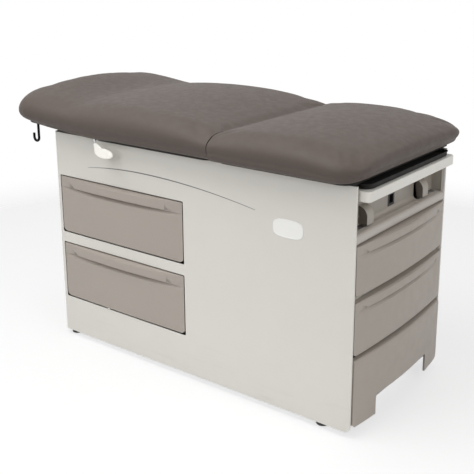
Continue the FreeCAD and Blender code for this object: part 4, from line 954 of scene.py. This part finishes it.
class TABLE_OT_fronts(Operator):
    """Rounds the edges of the moulded drawer fronts and of the step's front."""
    bl_idname = "table.fronts"
    bl_label = "Drawer fronts and step front"

    def execute(self, context):
        trim = context.scene.table_trim
        for where in ("upper_side_drawer", "lower_side_drawer", "upper_foot_drawer",
                      "lower_foot_drawer", "step"):
            softened(where + "_front", trim.front_edge, "drawer_front", FRONT_ANGLE)
        return {"FINISHED"}


class TABLE_OT_fittings(Operator):
    """Finishes the leg extension, pan, heel cups, socket and feet, and closes the bay."""
    bl_idname = "table.fittings"
    bl_label = "Fittings"

    def execute(self, context):
        trim = context.scene.table_trim
        softened("leg_extension_board", trim.slab_edge, "slab")
        softened("treatment_pan", trim.fitting_edge, "pan_black")
        softened("accessory_socket", trim.fitting_edge, "black_plastic")
        softened("foot_pads", trim.fitting_edge, "black_plastic")
        for side in ("near", "far"):
            cup = softened(side + "_heel_cup", trim.fitting_edge, "bay")
            self.straighten(cup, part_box(side + "_heel_cup")[1])
        self.make_cheeks(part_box("far_side_panel")[1].y - BAY_SHEET)
        return {"FINISHED"}

    def straighten(self, cup, high):
        """Lets a cup's front run straight down below its quarter round, and paints shade on its
        flat sides.
        """
        middle = Vector((high.x - CUP_ROUND, 0.0, high.z - CUP_ROUND))
        for point in cup.data.vertices:
            across = point.co.x - middle.x
            down = middle.z - point.co.z
            if across > 0.0 and down > 0.0:
                point.co.x = middle.x + math.hypot(across, down)
        # Faces turned along y, the cups' flat sides, take the painted shade colour
        cup.data.materials.append(FINISHES["cup_side_painted_shade"])
        for part in cup.data.polygons:
            part.material_index = 1 if abs(part.normal.y) > FACING else 0

    def make_cheeks(self, inner):
        """Closes the stirrup bay behind and beside the heel cups."""
        wall_low, wall_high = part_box("bay_back_panel")
        sill_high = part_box("bay_sill")[1]
        spans = (
            (Vector((wall_low.x, wall_high.y, sill_high.z)),
             Vector((wall_low.x + BAY_SHEET, inner, wall_high.z))),
            (Vector((wall_low.x, inner - BAY_SHEET, sill_high.z)),
             Vector((sill_high.x, inner, wall_high.z))),
        )
        bm = bmesh.new()
        for low, high in spans:
            middle = (low + high) / 2
            for side in (-1.0, 1.0):
                add_box(bm, (middle.x, side * middle.y, middle.z), high - low)
        finish_piece(from_bmesh("bay_cheeks", bm), "bay", "cabinet", SLOT_OF["bay_back_panel"])


# Trim of the near panel

def stripe_height(x):
    """Height of the painted stripe's middle line."""
    bow = STRIPE_HEAD_BOW if x < STRIPE_CREST.x else STRIPE_FOOT_BOW
    return STRIPE_CREST.z - bow * (x - STRIPE_CREST.x) ** 2


class TABLE_OT_panel_trim(Operator):
    """Makes the thin painted stripe and the bare oval plate on the near panel."""
    bl_idname = "table.panel_trim"
    bl_label = "Stripe and plate"

    def execute(self, context):
        trim = context.scene.table_trim
        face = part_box("near_side_panel")[0].y
        self.make_stripe(trim.stripe_width, face)
        self.make_plate(trim.plate_rise, face)
        return {"FINISHED"}

    def make_stripe(self, width, face):
        """A thin line that swells from its tip and then tapers off."""
        bm = bmesh.new()
        bmesh.ops.create_grid(bm, x_segments=STRIPE_PARTS, y_segments=1, size=0.5)
        for point in bm.verts:
            share = point.co.x + 0.5
            x = STRIPE_START + (STRIPE_END - STRIPE_START) * share
            swell = math.sin(math.pi * min(1.0, share * STRIPE_SWELL + STRIPE_TIP) / 2)
            taper = swell * (1.0 - STRIPE_TAPER * share)
            z = stripe_height(x) + point.co.y * width * taper
            point.co = (x, face - STRIPE_LIFT, z)
        face_outward(bm)
        thickened(bm, (0.0, STRIPE_LIFT - STRIPE_SINK, 0.0))
        face_outward(bm)
        finish_piece(from_bmesh("painted_stripe", bm), "stripe", "cabinet", "panel")

    def make_plate(self, rise, face):
        """A full oval with a rounded rim and a sunk field."""
        bm = bmesh.new()
        outline = bmesh.ops.create_circle(bm, cap_ends=True, segments=PLATE_POINTS, radius=1.0)
        for point in outline["verts"]:
            across = math.copysign(abs(point.co.x) ** PLATE_FULLNESS, point.co.x)
            up = math.copysign(abs(point.co.y) ** PLATE_FULLNESS, point.co.y)
            point.co = (PLATE_MIDDLE.x + across * PLATE_HALF.x, face,
                        PLATE_MIDDLE.z + up * PLATE_HALF.z)
        cap = picked(thickened(bm, (0.0, -rise, 0.0)), BMFace)[0]
        face_outward(bm)
        round_edges(bm, list(cap.edges), PLATE_ROUND * rise, segments=3)
        field = max((part for part in bm.faces if part.normal.y < 0.0),
                    key=lambda part: part.calc_area())
        bmesh.ops.inset_region(bm, faces=[field], thickness=PLATE_RIM, depth=0.0)
        bmesh.ops.inset_region(bm, faces=[field], thickness=PLATE_STEP, depth=-PLATE_STEP)
        finish_piece(from_bmesh("oval_plate", bm), "plate", "cabinet", "panel")


class TABLE_OT_hooks(Operator):
    """Makes the two bent wire hooks for the paper roll."""
    bl_idname = "table.hooks"
    bl_label = "Paper roll hooks"

    def execute(self, context):
        low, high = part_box("paper_roll_hooks")
        wire = context.scene.table_trim.hook_wire / 2
        bm = bmesh.new()
        for side in (-1.0, 1.0):
            self.bend_wire(bm, wire, side * (high.y - HOOK_PLATE.y / 2), low, high)
        face_outward(bm)
        hooks = from_bmesh("wire_hooks", bm, smooth_angle=40.0)
        finish_piece(hooks, "hook_black", "backrest", "black_steel", "paper_roll_hooks")
        return {"FINISHED"}

    def bend_wire(self, bm, wire, y, low, high):
        """One hook: a stem, a half turn and a short tip, under a plate with round corners."""
        stem_x = high.x - HOOK_PLATE.x / 2
        stem_top = high.z + head_rise(stem_x)
        tip_x = low.x + wire
        bend = (stem_x - tip_x) / 2
        centre = Vector((stem_x - bend, y, low.z + bend + wire))
        ring = bmesh.ops.create_circle(bm, segments=HOOK_SIDES, radius=wire)["verts"]
        bmesh.ops.translate(bm, verts=ring, vec=(stem_x, y, stem_top))
        loop = self.drawn(bm, edges_of(ring), Vector((0.0, 0.0, centre.z - stem_top)))
        turned = bmesh.ops.spin(bm, geom=loop, cent=centre, axis=(0.0, 1.0, 0.0),
                                dvec=(0.0, 0.0, 0.0), angle=math.pi, steps=HOOK_STEPS,
                                use_merge=False)["geom_last"]
        loop = self.drawn(bm, picked(turned, BMEdge), Vector((0.0, 0.0, HOOK_TIP_RISE)))
        cap = bmesh.ops.contextual_create(bm, geom=loop)["faces"]
        bmesh.ops.inset_region(bm, faces=cap, thickness=HOOK_TIP_INSET * wire,
                               depth=HOOK_TIP_DOME * wire)
        plate = add_box(bm, (stem_x, y, high.z - HOOK_PLATE.z / 2), HOOK_PLATE)
        corners = [edge for edge in edges_of(plate)
                   if abs((edge.verts[0].co - edge.verts[1].co).z) > 0.5 * HOOK_PLATE.z]
        known = set(bm.verts) - set(plate)
        round_edges(bm, corners, HOOK_PLATE_ROUND, segments=4)
        for point in set(bm.verts) - known:
            point.co.z += head_rise(point.co.x)

    def drawn(self, bm, loop, way):
        """Draws a loop of edges out along a way and gives the new loop."""
        made = bmesh.ops.extrude_edge_only(bm, edges=loop)["geom"]
        bmesh.ops.translate(bm, verts=picked(made, BMVert), vec=way)
        return picked(made, BMEdge)


class TABLE_OT_paddle(Operator):
    """Makes the oval paddle, with its neck, at the end of the release lever."""
    bl_idname = "table.paddle"
    bl_label = "Lever paddle"

    def execute(self, context):
        low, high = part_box("lever_paddle")
        bm = bmesh.new()
        outline = bmesh.ops.create_circle(bm, cap_ends=True, segments=PADDLE_POINTS, radius=1.0)
        middle = Vector((low.x, low.y, high.z)) + PADDLE_MIDDLE
        for point in outline["verts"]:
            turn = math.atan2(point.co.y, point.co.x)
            across, up = math.cos(turn), math.sin(turn)
            oval = 1.0 / math.hypot(across / PADDLE_HALF.x, up / PADDLE_HALF.z)
            neck = max(0.0, math.cos(turn - PADDLE_NECK_TURN)) ** PADDLE_NECK_POWER
            reach = oval + PADDLE_NECK * neck
            point.co = middle + Vector((reach * across, 0.0, reach * up))
        thickened(bm, (0.0, high.y - low.y, 0.0))
        face_outward(bm)
        rims = [edge for edge in bm.edges
                if abs(edge.verts[0].co.y - edge.verts[1].co.y) < MERGE_REACH]
        round_edges(bm, rims, PADDLE_EDGE, segments=5)
        paddle = from_bmesh("oval_paddle", bm, smooth_angle=50.0)
        finish_piece(paddle, "paddle", "release_lever", "paddle", "lever_paddle")
        return {"FINISHED"}


class TABLE_OT_mat(Operator):
    """Makes the ribbed rubber mat on the step."""
    bl_idname = "table.mat"
    bl_label = "Step mat"

    def execute(self, context):
        rib = context.scene.table_trim.mat_rib
        bm = merged_copy("step_mat")
        low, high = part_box("step_mat")
        width = high.y - low.y
        count = 2 * int(width / rib)
        for i in range(1, count):
            cut_through(bm, (0.0, low.y + width * i / count, 0.0), (0.0, 1.0, 0.0))
        grooves = [part for part in bm.faces if part.normal.z > FACING
                   and int((part.calc_center_median().y - low.y) / width * count) % 2]
        bmesh.ops.inset_individual(bm, faces=grooves, thickness=MAT_EDGE, depth=0.0)
        for part in grooves:
            bmesh.ops.translate(bm, verts=part.verts, vec=(0.0, 0.0, -MAT_GROOVE))
        mat = from_bmesh("ribbed_mat", bm, smooth_angle=30.0)
        finish_piece(mat, "mat", "step", "mat", "step_mat")
        return {"FINISHED"}


# Stage

def area_lamp(name, place, target, size, power):
    """A round lamp that shines from a place to a target."""
    data = bpy.data.lights.new(name, "AREA")
    data.shape = "DISK"
    data.size = size
    data.energy = power
    lamp = bpy.data.objects.new(name, data)
    lamp.location = place
    lamp.rotation_euler = (Vector(target) - Vector(place)).to_track_quat("-Z", "Y").to_euler()
    bpy.context.scene.collection.objects.link(lamp)


def seen_directly(tree):
    """1 for what the camera, a mirror or glass sees, 0 for what only lights the object."""
    path = tree.nodes.new("ShaderNodeLightPath")
    seen = math_node(tree, "MAXIMUM", path.outputs["Is Camera Ray"], path.outputs["Is Glossy Ray"])
    return math_node(tree, "MAXIMUM", seen, path.outputs["Is Transmission Ray"])


def mix_surfaces(tree, factor, first, second, end):
    """Shows the second surface where the factor is 1, and the first where it is 0."""
    mix = tree.nodes.new("ShaderNodeMixShader")
    for socket, output in zip(mix.inputs, (factor, first, second)):
        tree.links.new(output, socket)
    tree.links.new(mix.outputs["Shader"], tree.nodes[end].inputs["Surface"])


def make_world(sky):
    """Even light from all round, which is seen as plain white."""
    world = bpy.data.worlds.new("studio")
    world.use_nodes = True
    tree = world.node_tree
    light = tree.nodes["Background"]
    white = tree.nodes.new("ShaderNodeBackground")
    for node, strength in ((light, sky), (white, 1.0)):
        node.inputs["Color"].default_value = (1.0, 1.0, 1.0, 1.0)
        node.inputs["Strength"].default_value = strength
    mix_surfaces(tree, seen_directly(tree), light.outputs["Background"],
                 white.outputs["Background"], "World Output")
    bpy.context.scene.world = world


def make_floor(value):
    """A pale floor that takes shadows and fades out far from the table."""
    bm = bmesh.new()
    bmesh.ops.create_grid(bm, x_segments=1, y_segments=1, size=FLOOR_SIZE)
    floor = from_bmesh("floor", bm)
    material = bpy.data.materials.new("floor")
    material.use_nodes = True
    tree = material.node_tree
    shader = tree.nodes["Principled BSDF"]
    place = tree.nodes.new("ShaderNodeTexCoord").outputs["Object"]
    clouds = noise_node(tree, place, scale=3.0, detail=3.0)
    shade = ranged(tree, clouds, 0.3, 0.7, 0.0, 0.03)
    shader.inputs["Roughness"].default_value = 0.85
    shader.inputs["Specular IOR Level"].default_value = 0.0
    darker = with_alpha(value, share=0.96)
    tone = mixed_color(tree, shade, with_alpha(value), darker)
    tree.links.new(tone, shader.inputs["Base Color"])
    clear = tree.nodes.new("ShaderNodeBsdfTransparent")
    reach = tree.nodes.new("ShaderNodeVectorMath")
    reach.operation = "LENGTH"
    tree.links.new(place, reach.inputs[0])
    fade = ranged(tree, reach.outputs["Value"], FLOOR_FADE_START, FLOOR_FADE_END, 0.0, 1.0)
    pale = math_node(tree, "MULTIPLY", seen_directly(tree), FLOOR_WHITENESS)
    mix_surfaces(tree, math_node(tree, "MAXIMUM", fade, pale), shader.outputs["BSDF"],
                 clear.outputs["BSDF"], "Material Output")
    floor.data.materials.append(material)


class TABLE_OT_stage(Operator):
    """Makes the camera, the lamps, the even light and the pale floor."""
    bl_idname = "table.stage"
    bl_label = "Stage"

    def execute(self, context):
        settings = context.scene.table_stage
        scene = context.scene
        scene.view_settings.view_transform = "Standard"
        lens = bpy.data.cameras.new("photograph")
        lens.lens = settings.lens
        lens.sensor_width = SENSOR_WIDTH
        lens.shift_x, lens.shift_y = CAMERA_SHIFT
        camera = bpy.data.objects.new("photograph", lens)
        camera.location = CAMERA_PLACE
        camera.rotation_euler = CAMERA_TURN
        scene.collection.objects.link(camera)
        scene.camera = camera
        area_lamp("key", place=(-0.7, -1.1, 3.2), target=(0.0, 0.0, 0.6), size=2.4,
                  power=settings.key_power)
        area_lamp("fill", place=(2.9, -0.5, 2.2), target=(0.4, 0.0, 0.45), size=2.0,
                  power=settings.fill_power)
        area_lamp("front", place=(0.0, -3.2, 2.1), target=(0.0, 0.0, 0.4), size=2.2,
                  power=settings.front_power)
        make_world(settings.sky)
        make_floor(settings.floor)
        return {"FINISHED"}


class TABLE_PT_sidebar(Panel):
    """Lists the table's pieces, sizes and colours."""
    bl_idname = "TABLE_PT_sidebar"
    bl_label = "Examination table"
    bl_space_type = "VIEW_3D"
    bl_region_type = "UI"
    bl_category = "Table"

    def draw(self, context):
        for step in STEPS:
            self.layout.operator(step.bl_idname)
        scene = context.scene
        for group in (scene.table_pads, scene.table_trim, scene.table_colors, scene.table_stage):
            box = self.layout.box()
            for name in group.__annotations__:
                box.prop(group, name)


STEPS = (
    TABLE_OT_finishes, TABLE_OT_stage, TABLE_OT_cabinet, TABLE_OT_panel_trim, TABLE_OT_fronts,
    TABLE_OT_fittings, TABLE_OT_boards, TABLE_OT_hooks, TABLE_OT_paddle, TABLE_OT_mat,
    TABLE_OT_pads,
)
CLASSES = (PadSizes, TrimSizes, TableColors, StageSettings) + STEPS + (TABLE_PT_sidebar,)


def register():
    for kind in CLASSES:
        bpy.utils.register_class(kind)
    bpy.types.Scene.table_pads = PointerProperty(type=PadSizes)
    bpy.types.Scene.table_trim = PointerProperty(type=TrimSizes)
    bpy.types.Scene.table_colors = PointerProperty(type=TableColors)
    bpy.types.Scene.table_stage = PointerProperty(type=StageSettings)


def unregister():
    del bpy.types.Scene.table_pads
    del bpy.types.Scene.table_trim
    del bpy.types.Scene.table_colors
    del bpy.types.Scene.table_stage
    for kind in reversed(CLASSES):
        bpy.utils.unregister_class(kind)


def main():
    register()
    bpy.ops.table.finishes()
    bpy.ops.table.stage()
    bpy.ops.table.cabinet()
    bpy.ops.table.panel_trim()
    bpy.ops.table.fronts()
    bpy.ops.table.fittings()
    bpy.ops.table.boards()
    bpy.ops.table.hooks()
    bpy.ops.table.paddle()
    bpy.ops.table.mat()
    bpy.ops.table.pads()


if __name__ == "__main__":
    main()
